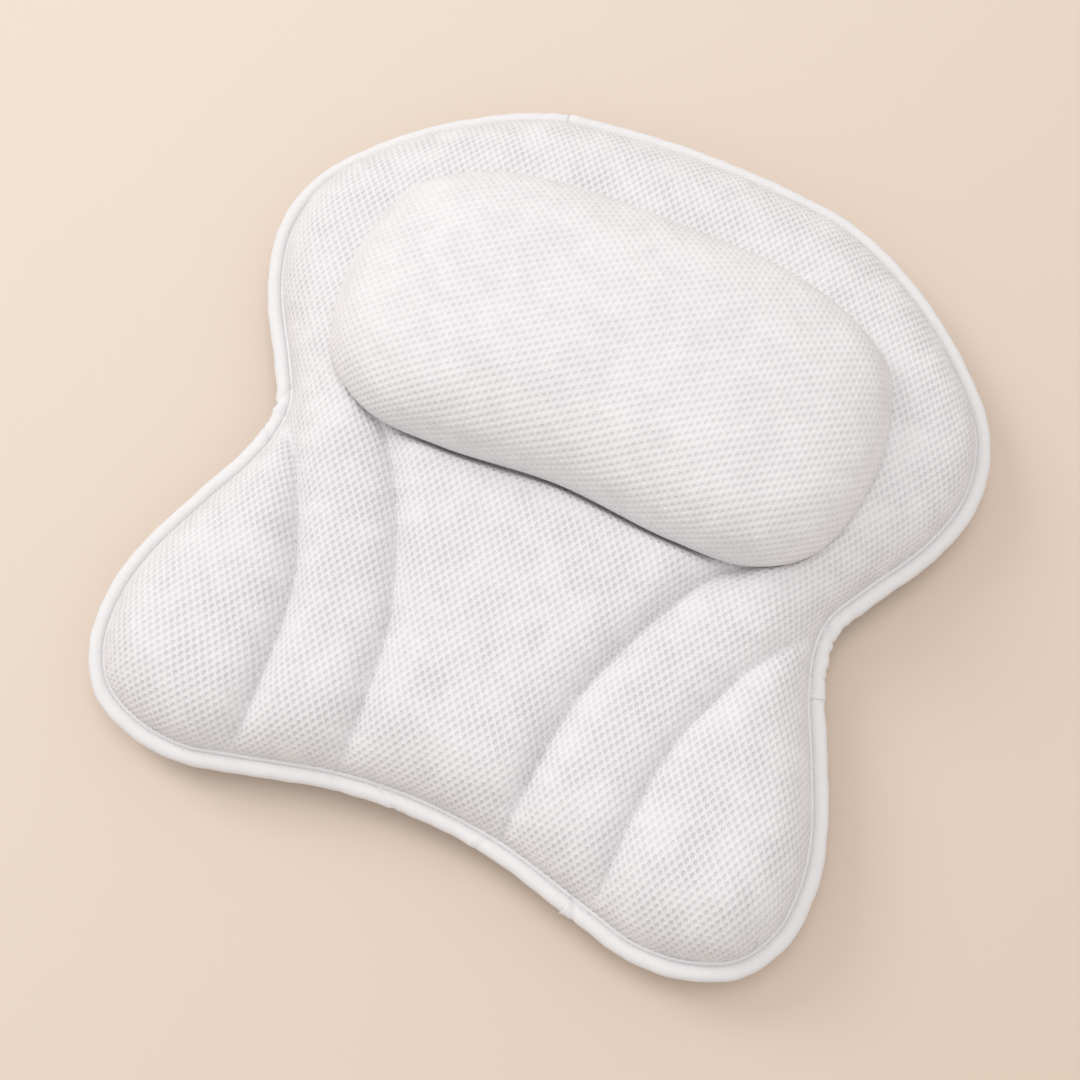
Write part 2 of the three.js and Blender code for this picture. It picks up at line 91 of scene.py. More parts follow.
def aim(piece, place, target):
    """Puts a camera or a lamp at a place and points it at a target."""
    piece.location = place
    piece.rotation_euler = (Vector(target) - Vector(place)).to_track_quat("-Z", "Y").to_euler()


camera_data = bpy.data.cameras.new("camera")
camera_data.lens = 50
camera_data.sensor_width = 36
camera_data.clip_start = 0.01
camera_data.clip_end = 50
camera = add_object("camera", camera_data)
aim(camera, CAMERA_PLACE, CAMERA_TARGET)
bpy.context.scene.camera = camera
print("camera distance", round((CAMERA_TARGET - CAMERA_PLACE).length, 3))

# %% [markdown]
# ## Writing materials as expressions
#
# A node tree is long to build by hand. Three small helpers keep it readable. `Value` wraps a number socket,
# so that `1 - mask * 0.5` adds its own Math nodes. `Tree` adds any other node in one call: its type, its
# settings, and what its sockets get. `Finish` is the tree of a material.

# %% A small language for node trees
class Value:
    """A number socket of a node tree that can be used in sums."""

    def __init__(self, tree, socket):
        self.tree = tree
        self.socket = socket

    def math(self, operation, *terms):
        node = self.tree.nodes.new("ShaderNodeMath")
        node.operation = operation
        for slot, term in enumerate(terms):
            if isinstance(term, Value):
                self.tree.links.new(term.socket, node.inputs[slot])
            else:
                node.inputs[slot].default_value = term
        return Value(self.tree, node.outputs[0])

    def clamped(self):
        return self.math("MINIMUM", self.math("MAXIMUM", self, 0.0), 1.0)

    def sine(self):
        return self.math("SINE", self)

    def __add__(self, other):
        return self.math("ADD", self, other)

    def __sub__(self, other):
        return self.math("SUBTRACT", self, other)

    def __rsub__(self, other):
        return self.math("SUBTRACT", other, self)

    def __mul__(self, other):
        return self.math("MULTIPLY", self, other)

    __radd__, __rmul__ = __add__, __mul__


class Tree:
    """A node tree under construction."""

    def __init__(self, tree):
        self.tree = tree

    def node(self, kind, settings=None, **sockets):
        node = self.tree.nodes.new(kind)
        for name, value in (settings or {}).items():
            setattr(node, name, value)
        for name, value in sockets.items():
            self.feed(node.inputs[name.replace("_", " ")], value)
        return node

    def feed(self, socket, value):
        if isinstance(value, Value):
            self.tree.links.new(value.socket, socket)
        elif isinstance(value, bpy.types.NodeSocket):
            self.tree.links.new(value, socket)
        else:
            socket.default_value = value

    def value(self, socket):
        return Value(self.tree, socket)


class Finish(Tree):
    """A material under construction: its tree and its Principled shader."""

    def __init__(self, name):
        self.material = bpy.data.materials.new(name)
        self.material.use_nodes = True
        super().__init__(self.material.node_tree)
        self.shader = self.tree.nodes["Principled BSDF"]

    def noise(self, scale, detail=2.0, roughness=0.5):
        place = self.coordinates("Object")
        node = self.node("ShaderNodeTexNoise", Vector=place, Scale=scale, Detail=detail, Roughness=roughness)
        return self.value(node.outputs[0])

    def coordinates(self, kind):
        return self.node("ShaderNodeTexCoord").outputs[kind]

    def axes(self, kind):
        """The first two coordinates of a kind, as numbers."""
        split = self.node("ShaderNodeSeparateXYZ", Vector=self.coordinates(kind))
        return self.value(split.outputs[0]), self.value(split.outputs[1])

    def attribute(self, name):
        return self.value(self.node("ShaderNodeAttribute", {"attribute_name": name}).outputs["Fac"])

    def blend(self, share, low, high):
        mix = self.node("ShaderNodeMix", {"data_type": "RGBA"})
        for socket, value in zip((mix.inputs[0], mix.inputs[6], mix.inputs[7]), (share, low, high)):
            self.feed(socket, value)
        return mix.outputs[2]

    def bump(self, height, distance, strength=1.0):
        return self.node("ShaderNodeBump", Height=height, Distance=distance, Strength=strength).outputs[0]

    def set(self, **sockets):
        for name, value in sockets.items():
            self.feed(self.shader.inputs[name.replace("_", " ")], value)
        return self.material


print("node helpers ready")

# %% [markdown]
# ## Cloth, tape, thread, vinyl and plastic
#
# The mesh is knitted from white polyester yarn. The threads round a hole get a painted highlight, a colour
# brighter than the yarn between the holes. The inner face that shows through the holes gets painted shade, a
# greyer colour, which comes and goes in soft clouds because the two knitted faces drift in and out of step.
# The sides of a hole are painted as lit thread in the light clouds and as shade in the dark ones. Three
# attributes
# tell the places apart: `crest` is 1 midway between holes and falls to 0 at their edges, `hole` is 1 at the
# bottom of a hole, and `rim` is 1 on its sides. The bolster's cloth is stretched, so its inner face lies
# closer and the painted shade in its holes is fainter: `fade` says by how much.

# %% Air mesh
CREST_LIGHT = (0.805, 0.789, 0.797, 1)
CREST_DARK = (0.75, 0.734, 0.743, 1)
# Painted highlight on the threads round each hole.
EDGE = (0.885, 0.869, 0.877, 1)
# Painted shade at the bottom of the holes, lighter in the light clouds and darker in the dark ones.
HOLE_SHADE_LIGHT = (0.766, 0.748, 0.759, 1)
HOLE_SHADE_DARK = (0.662, 0.644, 0.656, 1)
# The hole's sides: a painted highlight of the thread in light clouds, painted shade in dark ones.
RIM_HIGHLIGHT = (0.86, 0.844, 0.852, 1)
RIM_SHADE = (0.72, 0.703, 0.713, 1)


def make_air_mesh(name, cloud_scale, fade):
    """The knitted cloth, with clouds of a given scale, a painted highlight round each hole, and painted shade
    in the holes that is more or less faded.
    """
    finish = Finish(name)
    clouds = finish.noise(cloud_scale, 2.5, 0.6)
    shade = ((clouds - 0.36) * 3.6).clamped()
    fibres = finish.noise(1500, 2, 0.6)
    crests = finish.blend(shade, CREST_DARK, CREST_LIGHT)
    # Painted shade in the holes, faded towards the crest colour by fade.
    inner = finish.blend(fade, finish.blend(shade, HOLE_SHADE_DARK, HOLE_SHADE_LIGHT), crests)
    # The hole's sides, painted between highlight and shade by the clouds.
    sides = finish.blend(shade, RIM_SHADE, RIM_HIGHLIGHT)
    # Where the painted highlight round each hole gives way to the crest colour.
    past_highlight = (finish.attribute("crest") * 1.3 + fibres * 0.8 - 0.5).clamped()
    yarn = finish.blend(past_highlight, EDGE, crests)
    knit = finish.blend(finish.attribute("hole"), yarn, inner)
    return finish.set(
        Base_Color=finish.blend(finish.attribute("rim"), knit, sides),
        Roughness=0.78,
        Sheen_Weight=0.08,
        Normal=finish.bump(fibres, 0.00014, 0.8),
    )


air_mesh = make_air_mesh("air_mesh", 58, 0)
bolster_mesh = make_air_mesh("air_mesh_bolster", 70, 0.9)
back_mesh = make_air_mesh("air_mesh_back", 50, 0)

# %% Tape, thread, filling, vinyl and plastic
RIB_PITCH = 0.75
GROOVE_PLACE = 25.3


def make_tape_cloth():
    """Woven tape: its ribs and the painted shade of its stitched groove follow its UV map, which is in
    millimetres.
    """
    finish = Finish("binding_tape")
    along, across = finish.axes("UV")
    ribs = (along * (2 * math.pi / RIB_PITCH)).sine()
    slub = finish.noise(260, 3, 0.6)
    shade = (slub * 0.5 + ribs * 0.22 + 0.25).clamped()
    from_groove = across - GROOVE_PLACE
    # Painted shade: the tape's colour darkens along its stitched groove.
    groove = (1 - from_groove * from_groove * 1.1).clamped()
    cloth = finish.blend(shade, (0.83, 0.815, 0.82, 1), (0.92, 0.905, 0.91, 1))
    return finish.set(
        Base_Color=finish.blend(groove * 0.8, cloth, (0.66, 0.642, 0.65, 1)),
        Roughness=0.62,
        Sheen_Weight=0.1,
        Normal=finish.bump(ribs * 0.5 + slub * 0.6, 0.00016, 0.9),
    )


def make_plain(name, noise, dark, light, relief, roughness, vary=0.0, strength=1.0, **more):
    """A material whose colour and relief, and its roughness if that varies, all follow one noise."""
    finish = Finish(name)
    grain = finish.noise(*noise)
    return finish.set(
        Base_Color=finish.blend(grain, (*dark, 1), (*light, 1)),
        Roughness=grain * vary + roughness if vary else roughness,
        Normal=finish.bump(grain, relief, strength),
        **more,
    )


tape_cloth = make_tape_cloth()
thread = make_plain("sewing_thread", (3000, 1), (0.74, 0.73, 0.735), (0.86, 0.85, 0.855), 0.00005, 0.5)
filling = make_plain("filling", (420, 6, 0.7), (0.82, 0.8, 0.76), (0.93, 0.91, 0.87), 0.0008, 0.95)
clear_vinyl = make_plain(
    "clear_vinyl", (140, 3), (0.86, 0.9, 0.91), (0.93, 0.96, 0.965), 0.0002, 0.06,
    vary=0.12, strength=0.3, IOR=1.5, Transmission_Weight=0.82,
)
white_plastic = make_plain(
    "white_plastic", (1800, 2), (0.86, 0.86, 0.85), (0.91, 0.91, 0.9), 0.00004, 0.28, vary=0.14,
)
print("materials:", ", ".join(m.name for m in bpy.data.materials if m.name.islower()))

# %% [markdown]
# ## The plan of the cushion
#
# The CAD model draws the cushion from a few points on its right half, as shares of half the width and
# height, joined by a smooth closed curve. The same shares are repeated here, so that the cloth follows the
# solids, only with many more points.

# %% Named sizes
WIDTH = 430 * MM
HEIGHT = 444 * MM
TAPE_WIDTH = 9.6 * MM
TAPE_THICKNESS = 1.4 * MM
CLOTH = 1.8 * MM
GAP = 0.3 * MM
CROWN_HEIGHT = 33 * MM
EDGE_REACH = 44 * MM
SEAM_REACH = 25 * MM
SEAM_PINCHES = [0.73, 0.62, 0.62, 0.67]
SEAT_REACH = 6.5 * MM
SEAT_SHARE = 0.955

tape_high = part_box("edge_binding")[1]
bolster_low, bolster_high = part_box("bolster_cover")
HEM_TOP = tape_high.z - TAPE_THICKNESS - GAP
SEAT_TOP = bolster_low.z - GAP
print("hem at", round(HEM_TOP / MM, 2), "seat at", round(SEAT_TOP / MM, 2), "mm")

# %% Shares of the outline, the bolster and the seams
OUTLINE = [
    (0, 1), (0.22, 0.99), (0.44, 0.957), (0.645, 0.858), (0.823, 0.718), (0.966, 0.54), (1, 0.37),
    (0.953, 0.196), (0.833, 0), (0.79, -0.075), (0.782, -0.125), (0.787, -0.175), (0.812, -0.26),
    (0.86, -0.37), (0.93, -0.55), (0.952, -0.67), (0.936, -0.817), (0.864, -0.929), (0.74, -0.987),
    (0.593, -1), (0.465, -0.973), (0.21, -0.914), (0, -0.897),
]
NOTCH, OUTER_FOOT, INNER_FOOT = 10, 20, 21
BOLSTER = [
    (0, 1), (0.49, 0.96), (0.768, 0.808), (0.93, 0.58), (1, 0.2), (1.01, -0.2), (0.925, -0.72),
    (0.73, -0.965), (0.44, -1), (0, -0.94),
]
SEAM_HEAD = 7
BOLSTER_SIDE = [
    (0.93, 0), (0.985, 0.12), (1, 0.27), (0.968, 0.44), (0.912, 0.61), (0.795, 0.77), (0.61, 0.895),
    (0.35, 0.972),
]
OUTER_SEAM = [(0.23, 0.075), (0.49, 0.19), (0.73, 0.35), (0.88, 0.47), (0.97, 0.63), (1.01, 0.84)]
INNER_SEAM = [(0.26, 0.1), (0.51, 0.24), (0.69, 0.37), (0.85, 0.51), (0.95, 0.67), (1, 0.88)]


# %% Smooth curves through points
def smooth_curve(points, closed=False, skip=0, steps=24):
    """A centripetal Catmull-Rom curve through some points, without its first few spans."""
    points = [np.array(p, float) for p in points]
    count = len(points)
    spans = []
    for i in range(count if closed else count - 1):
        if closed:
            a, b, c, d = (points[(i + k) % count] for k in (-1, 0, 1, 2))
        else:
            b, c = points[i], points[i + 1]
            a = points[i - 1] if i else 2 * b - c
            d = points[i + 2] if i + 2 < count else 2 * c - b
        gaps = [max(math.sqrt(np.linalg.norm(q - p)), 1e-6) for p, q in ((a, b), (b, c), (c, d))]
        leave = ((b - a) / gaps[0] - (c - a) / (gaps[0] + gaps[1]) + (c - b) / gaps[1]) * gaps[1]
        arrive = ((c - b) / gaps[1] - (d - b) / (gaps[1] + gaps[2]) + (d - c) / gaps[2]) * gaps[1]
        t = np.linspace(0, 1, steps + 1)[:, None]
        bend, twist = 3 * (c - b) - 2 * leave - arrive, leave + arrive - 2 * (c - b)
        spans.append(b + leave * t + bend * t**2 + twist * t**3)
    return np.vstack([spans[skip]] + [span[1:] for span in spans[skip + 1 :]])


def lengths_along(line):
    """How far along a line each of its points lies."""
    return np.concatenate([[0], np.cumsum(np.linalg.norm(np.diff(line, axis=0), axis=1))])


def looped(ring):
    """A ring of points, with its first point again at the end."""
    return np.concatenate([ring, ring[:1]])


def even_points(line, spacing):
    """The line again, with points at even distances."""
    travelled = lengths_along(line)
    goals = np.linspace(0, travelled[-1], max(int(round(travelled[-1] / spacing)), 2) + 1)
    return np.stack([np.interp(goals, travelled, line[:, k]) for k in range(line.shape[1])], 1)


def closed_half(shares, half_x, half_y):
    """Both halves of a symmetric closed curve, clockwise from the top."""
    half = [(x * half_x, y * half_y) for x, y in shares]
    return smooth_curve(half + [(-x, y) for x, y in half[1:-1][::-1]], True)


def inwards(ring):
    """The directions square to a closed clockwise ring."""
    along = np.roll(ring, -1, 0) - np.roll(ring, 1, 0)
    along /= np.linalg.norm(along, axis=1)[:, None]
    return np.stack([along[:, 1], -along[:, 0]], 1)


outline = even_points(closed_half(OUTLINE, WIDTH / 2, HEIGHT / 2), 1.5 * MM)[:-1]
ring_inward = inwards(outline)
lip = outline + ring_inward * (TAPE_WIDTH + GAP)
print("tape length", round(float(lengths_along(looped(outline))[-1]), 2), "m")

# %% Bolster outline, seat and channel seams
bolster_half_x = bolster_high.x / float(closed_half(BOLSTER, 1, 1)[:, 0].max())
bolster_half_y = (bolster_high.y - bolster_low.y) / 2
bolster_y = (bolster_high.y + bolster_low.y) / 2
bolster_outline = even_points(closed_half(BOLSTER, bolster_half_x, bolster_half_y), 2 * MM)[:-1]
seat = bolster_outline * SEAT_SHARE + np.array([0, bolster_y])


def nearest_row(place):
    """Which point of the outline is nearest to a place in the plan."""
    return int(np.argmin(np.linalg.norm(outline - np.array(place), axis=1)))


def lip_point(corner):
    """The tape's inner lip beside one of the outline's corners."""
    return lip[nearest_row((OUTLINE[corner][0] * WIDTH / 2, OUTLINE[corner][1] * HEIGHT / 2))]


def seam_line(head, foot, shares):
    """A channel seam from its head to its foot, through shares of the way across and up."""
    middle = [head + (foot - head) * np.array(share) for share in shares]
    return even_points(smooth_curve([head, *middle, foot]), 3 * MM)


seam_head = np.array([BOLSTER[SEAM_HEAD][0] * bolster_half_x, BOLSTER[SEAM_HEAD][1] * bolster_half_y])
seam_head = seam_head * SEAT_SHARE + np.array([0, bolster_y])
outer_seam = seam_line(lip_point(NOTCH), lip_point(OUTER_FOOT), OUTER_SEAM)
inner_seam = seam_line(seam_head, lip_point(INNER_FOOT), INNER_SEAM)
seams = [outer_seam, inner_seam, outer_seam * [-1, 1], inner_seam * [-1, 1]]
print("seam lengths:", [round(float(lengths_along(seam)[-1]), 3) for seam in seams])

# %% [markdown]
# ## How high the cloth stands
#
# The cushion is crowned: it rises from the tape in a quarter round, dips at each channel seam and meets the
# level seat under the bolster. All this is one height for each point of the plan, so it can be worked out
# once on a fine grid and read from there. The grid also holds small puckers, which real cloth has where a
# seam gathers it. They run square to the seam and fade away from it.

# %% Distances on a grid
STEP = 1 * MM
GRID_HALF_X, GRID_HALF_Y = 232 * MM, 240 * MM
grid_x = np.arange(-GRID_HALF_X, GRID_HALF_X + STEP / 10, STEP)
grid_y = np.arange(-GRID_HALF_Y, GRID_HALF_Y + STEP / 10, STEP)
plan_x, plan_y = np.meshgrid(grid_x, grid_y)


def distance_and_place(line):
    """For every grid point, how far the line is and how far along it the nearest point lies."""
    least = np.full(plan_x.shape, 1.0)
    place = np.zeros(plan_x.shape)
    travelled = 0.0
    for (ax, ay), (bx, by) in zip(line[:-1], line[1:]):
        dx, dy = bx - ax, by - ay
        length = math.hypot(dx, dy)
        share = np.clip(((plan_x - ax) * dx + (plan_y - ay) * dy) / length**2, 0, 1)
        found = (plan_x - ax - dx * share) ** 2 + (plan_y - ay - dy * share) ** 2
        nearer = found < least
        least = np.where(nearer, found, least)
        place = np.where(nearer, travelled + share * length, place)
        travelled += length
    return np.sqrt(least), place


def inside(ring):
    """Whether each grid point is inside a closed ring, by counting crossings."""
    result = np.zeros(plan_x.shape, bool)
    for (ax, ay), (bx, by) in zip(ring, np.roll(ring, -1, 0)):
        if ay != by:
            spanned = (ay > plan_y) != (by > plan_y)
            result ^= spanned & (plan_x < ax + (plan_y - ay) * (bx - ax) / (by - ay))
    return result


in_lip = inside(lip)
in_seat = inside(seat)
lip_distance, lip_place = distance_and_place(even_points(looped(lip), 4 * MM))
seat_distance = distance_and_place(even_points(looped(seat), 6 * MM))[0]
seam_fields = [distance_and_place(seam) for seam in seams]
edge_distance = np.where(in_lip, lip_distance, -lip_distance)
print("grid points:", plan_x.size)


# %% Height of the cushion's cloth
def swelling(share):
    """A quarter round: from 0 at a held edge to 1 at the full reach."""
    return np.sqrt(1 - (1 - np.clip(share, 0, 1)) ** 2)


def rolled(share):
    """A gentler roll for a sewn crease: steep at the seam, but never upright."""
    return (1 - (1 - np.clip(share, 0, 1)) ** 2.6) ** 0.8


def eased(share):
    """A slow start and a slow end, from 0 to 1."""
    share = np.clip(share, 0, 1)
    return share * share * (3 - 2 * share)


def beside(distance, fade, start):
    """Strong beside a line and fading away from it, but nothing on the line itself."""
    return np.exp(-distance / fade) * np.clip(distance / start, 0, 1)


def waves(place, lengths, seed):
    """Uneven waves along a seam, from a few sines whose phases come from a fixed seed."""
    phases = np.random.default_rng(seed).uniform(0, 2 * math.pi, len(lengths))
    total = sum(np.sin(2 * math.pi * place / length + phase) for length, phase in zip(lengths, phases))
    return total / len(lengths)


def swells(x, y, seed, lengths):
    """The soft swells of loose filling, from 0 to 1: sines that run in several directions."""
    turns = np.random.default_rng(seed).uniform(0, 2 * math.pi, (len(lengths), 2))
    total = sum(
        np.sin(2 * math.pi * (x * math.cos(turn) + y * math.sin(turn)) / length + phase)
        for length, (turn, phase) in zip(lengths, turns)
    )
    return 0.5 + total / len(lengths) / 2


SWELL = 1.8 * MM
SWELL_LENGTHS = [74 * MM, 57 * MM, 45 * MM, 38 * MM, 31 * MM]
PUCKER = 1.1 * MM
PUCKER_LENGTHS = [31 * MM, 19 * MM, 12.7 * MM, 9.1 * MM]
PUCKER_AT_LIP = (9 * MM, 3 * MM)
PUCKER_AT_SEAM = (8 * MM, 2 * MM)
SEAM_PUCKER_SHARE = 0.8
puff = swelling(lip_distance / EDGE_REACH)
for (distance, place), pinch in zip(seam_fields, SEAM_PINCHES):
    puff = puff * (pinch + (1 - pinch) * rolled(distance / SEAM_REACH))
crowned = HEM_TOP + CROWN_HEIGHT * puff
away = eased(seat_distance / SEAT_REACH)
height = SEAT_TOP + (crowned - SEAT_TOP) * away
pucker = waves(lip_place, PUCKER_LENGTHS, 1) * beside(lip_distance, *PUCKER_AT_LIP)
for seed, (distance, place) in enumerate(seam_fields):
    wave = SEAM_PUCKER_SHARE * waves(place, PUCKER_LENGTHS, 10 + seed)
    pucker = pucker + wave * beside(distance, *PUCKER_AT_SEAM)
height = height + PUCKER * pucker + SWELL * swells(plan_x, plan_y, 3, SWELL_LENGTHS) * puff * away
height = np.where(in_seat, SEAT_TOP, np.where(in_lip, height, HEM_TOP))


def blended(table, i, j):
    """A table's value between its entries, from the four nearest."""
    i, j = (np.clip(k, 0, size - 1.001) for k, size in zip((i, j), table.shape))
    i0, j0 = i.astype(int), j.astype(int)
    u, v = ((k - k0).reshape(k.shape + (1,) * (table.ndim - 2)) for k, k0 in ((i, i0), (j, j0)))
    low = table[i0, j0] * (1 - u) + table[i0 + 1, j0] * u
    high = table[i0, j0 + 1] * (1 - u) + table[i0 + 1, j0 + 1] * u
    return low * (1 - v) + high * v


def read_grid(values, x, y):
    """The value at any point of the plan."""
    return blended(values.T, (x - grid_x[0]) / STEP, (y - grid_y[0]) / STEP)


def cushion_point(x, y):
    """The front cover's surface over a point of the plan."""
    return np.stack([x, y, read_grid(height, x, y)], -1)


print("crown", round(float(height.max()) / MM, 1), "mm")

# %% [markdown]
# ## The bolster's surface
#
# The bolster is a loaf with rounded sides that overhang its seam, so it has no single height over the plan.
# Instead its cloth is measured from the peak: a direction, and how far to walk over the surface in that
# direction. A table turns the two into a place. A second table says where the same place lies in flat cloth,
# if the cloth hangs down the sides square to the outline, as it does on the long, straight ones.

# %% Walk over the bolster
BEFORE_PEAK = (-0.36, 0.972)
RAYS = 720
WALK = 0.5 * MM
LONGEST_WALK = 240 * MM
UNDER = 6 * MM
BEYOND = 60 * MM
SWELL_START = 20 * MM
HANG_ROUNDS = 24
HANG_STEP = 0.8
bolster_height = bolster_high.z - SEAT_TOP - GAP
profile = smooth_curve([BEFORE_PEAK, (0, 1), *BOLSTER_SIDE[::-1]], skip=1)
ray_angles = np.linspace(-math.pi, math.pi, RAYS + 1)
outline_angles = np.arctan2(bolster_outline[:, 1], bolster_outline[:, 0])
order = np.argsort(outline_angles)


def on_rays(values):
    """Values of the bolster's outline points, read where the rays cross the outline."""
    return np.interp(ray_angles, outline_angles[order], values[order], period=2 * math.pi)


radii = on_rays(np.hypot(*bolster_outline.T))
outward = -inwards(bolster_outline)
facing = np.stack([on_rays(outward[:, 0]), on_rays(outward[:, 1])], 1)
facing /= np.linalg.norm(facing, axis=1)[:, None]
walk_steps = np.arange(0, LONGEST_WALK, WALK)
walked = np.zeros((RAYS + 1, len(walk_steps), 3))
unrolled = np.zeros((RAYS + 1, len(walk_steps), 2))
ray_lengths = np.zeros(RAYS + 1)
for k, (angle, radius) in enumerate(zip(ray_angles, radii)):
    across = np.append(profile[:, 0] * radius, profile[-1, 0] * radius - BEYOND)
    up = np.append(profile[:, 1], profile[-1, 1]) * bolster_height + SEAT_TOP + GAP
    travelled = np.concatenate([[0], np.cumsum(np.hypot(np.diff(across), np.diff(up)))])
    ray_lengths[k] = travelled[-2] + UNDER
    out = np.interp(walk_steps, travelled, across)
    walked[k, :, 0] = out * math.cos(angle)
    walked[k, :, 1] = out * math.sin(angle) + bolster_y
    walked[k, :, 2] = np.interp(walk_steps, travelled, up)
    swell = swells(walked[k, :, 0], walked[k, :, 1], 6, SWELL_LENGTHS) * SWELL
    walked[k, :, 2] += swell * np.clip(walked[k, :, 2] - SEAT_TOP - SWELL_START, 0, SWELL_START) / SWELL_START
    plan_steps = np.diff(out)[:, None] * np.array([math.cos(angle), math.sin(angle)])
    square = plan_steps @ facing[k]
    hanging = np.hypot(square, np.diff(walked[k, :, 2]))
    unrolled[k, 1:] = np.cumsum(plan_steps + (hanging - square)[:, None] * facing[k], 0)


def read_walk(table, p, q):
    """A table's value where a walk from the peak ends: p to the right and q towards the head end."""
    return blended(table, (np.arctan2(q, p) + math.pi) / (2 * math.pi) * RAYS, np.hypot(p, q) / WALK)


def bolster_point(p, q):
    """The bolster's surface where a walk from its peak ends."""
    return read_walk(walked, p, q)


def hang_cloth(p, q):
    """The walks that end where flat cloth at p and q comes to lie."""
    goal = np.stack([p, q], -1)
    walk = goal.copy()
    for _ in range(HANG_ROUNDS):
        walk += HANG_STEP * (goal - read_walk(unrolled, walk[..., 0], walk[..., 1]))
    return walk[..., 0], walk[..., 1]


print("longest walk over the bolster:", round(float(ray_lengths.max()) / MM), "mm")

# %% [markdown]
# ## Laying the knit over a curved surface
#
# The mesh is a honeycomb of holes about 4.3 mm apart. Stretching a flat honeycomb over a cushion would make
# its cells large on the steep sides, which real cloth doesn't do: its yarns keep their length. So the cells'
# centres are joined by springs with the lengths that they have in flat cloth, and the net is left to settle
# on the surface. A spring's pull is turned into a move within the surface with the surface's two slopes.
# Where the surface is too small for the cloth, the rows would buckle, so each cell can also be drawn a little
# to the middle of its six neighbours, as stiff yarn does.

# %% Settle a net of springs
def slopes(point_at, p, q):
    """The surface's directions for a small step in p and in q."""
    small = 0.5 * MM
    along_p = (point_at(p + small, q) - point_at(p - small, q)) / (2 * small)
    along_q = (point_at(p, q + small) - point_at(p, q - small)) / (2 * small)
    return along_p, along_q


SPRING_STEP = 0.17
Knit = namedtuple("Knit", "short rise half_long half_wide lean")


def neighbour(values, down, right):
    """What the cell some rows down and some cells to the right has."""
    return np.roll(values, (-down, -right), (0, 1))


def settle(point_at, p, q, knit, active, rounds, evening=0.0):
    """Moves a net of cells over a surface until its springs have their flat lengths."""
    slanted = math.hypot(knit.short / 2, knit.rise)
    links = [((0, 1), knit.short), ((1, 0), slanted), ((1, -1), slanted)]
    steps = [step for step, _ in links] + [(-down, -right) for (down, right), _ in links]
    amid = active.copy()
    for down, right in steps:
        amid &= neighbour(active, down, right)
    for _ in range(rounds):
        place = point_at(p, q)
        pull = np.zeros_like(place)
        for (down, right), length in links:
            both = active & neighbour(active, down, right)
            gap = neighbour(place, down, right) - place
            size = np.maximum(np.linalg.norm(gap, axis=-1, keepdims=True), 1e-9)
            force = gap * (1 - length / size) * both[..., None]
            pull += force - neighbour(force, -down, -right)
        along_p, along_q = slopes(point_at, p, q)
        pp, qq = (along_p**2).sum(-1), (along_q**2).sum(-1)
        pq = (along_p * along_q).sum(-1)
        fp, fq = (pull * along_p).sum(-1), (pull * along_q).sum(-1)
        room = np.maximum(pp * qq - pq**2, 1e-9)
        p = p + SPRING_STEP * (qq * fp - pq * fq) / room
        q = q + SPRING_STEP * (pp * fq - pq * fp) / room
        if evening:
            for values in (p, q):
                mean = sum(neighbour(values, *step) for step in steps) / 6
                values += evening * (mean - values) * amid
    return p, q


def turned(x, y, degrees):
    """A point of the plane, turned about the origin."""
    turn = math.radians(degrees)
    return x * math.cos(turn) - y * math.sin(turn), x * math.sin(turn) + y * math.cos(turn)


def flat_net(knit, degrees, half_x, half_y):
    """Cell centres of flat cloth: rows of cells a short way apart, each row half a cell along."""
    rows = int(math.hypot(half_x, half_y) / knit.rise) + 2
    columns = int(math.hypot(half_x, half_y) / knit.short) + 2 + rows // 2
    r, c = np.meshgrid(np.arange(-rows, rows + 1), np.arange(-columns, columns + 1), indexing="ij")
    p, q = turned((c + r / 2) * knit.short, r * knit.rise, degrees)
    return p, q, (np.abs(p) < half_x) & (np.abs(q) < half_y)


print("net helpers ready")


# %% [markdown]
# ## From a net to knitted cloth
#
# Each cell is a six-sided piece of the surface, whose corners lie between three cell centres. Its yarn rises
# a little from these corners to an oval, which leans because the knit is pulled that way. A second layer
# under it and a rim round the border close the cloth, which is 1.8 mm thick. Then a Geometry Nodes tree sinks
# the face inside every oval and marks the sides of the hole. Faces, and not instances, are the right thing to
# repeat here, because neighbouring cells share their yarn.
#
# A seam is a fold much sharper than a cell. So the cell corners beside a seam are first moved onto it, and a
# cell that still spans it is cut in two along it, with a smaller hole on each side.

# %% Corners on a seam
def beside_line(line, points):
    """How far each point is from a line, the nearest place on it, and its side: 0 past the line's ends."""
    least = np.full(len(points), 1.0)
    nearest, side = points.copy(), np.zeros(len(points))
    for k, (start, end) in enumerate(zip(line[:-1], line[1:])):
        along = end - start
        share = ((points - start) @ along) / (along @ along)
        place = start + np.clip(share, 0, 1)[:, None] * along
        gap = points - place
        distance = np.hypot(gap[:, 0], gap[:, 1])
        turn = np.sign(along[0] * gap[:, 1] - along[1] * gap[:, 0])
        past = ((share < 0) & (k == 0)) | ((share > 1) & (k == len(line) - 2))
        closer = distance < least
        least = np.where(closer, distance, least)
        nearest[closer] = place[closer]
        side[closer] = np.where(past, 0, turn)[closer]
    return least, nearest, side


def draw_to_seams(points, edges, lines, reach=6 * MM):
    """Moves the nearer end of each edge that crosses a seam onto it. Gives each point's seam and side."""
    seam_of = np.full(len(points), -1)
    sides = np.zeros((len(lines), len(points)))
    for number, line in enumerate(lines):
        least, nearest, side = beside_line(line, points)
        side = np.where(least < reach, side, 0)
        a, b = edges[side[edges[:, 0]] * side[edges[:, 1]] < 0].T
        chosen = np.unique(np.where(least[a] < least[b], a, b))
        points[chosen] = nearest[chosen]
        seam_of[chosen] = number
        side[chosen] = 0
        sides[number] = side
    return points, seam_of, sides


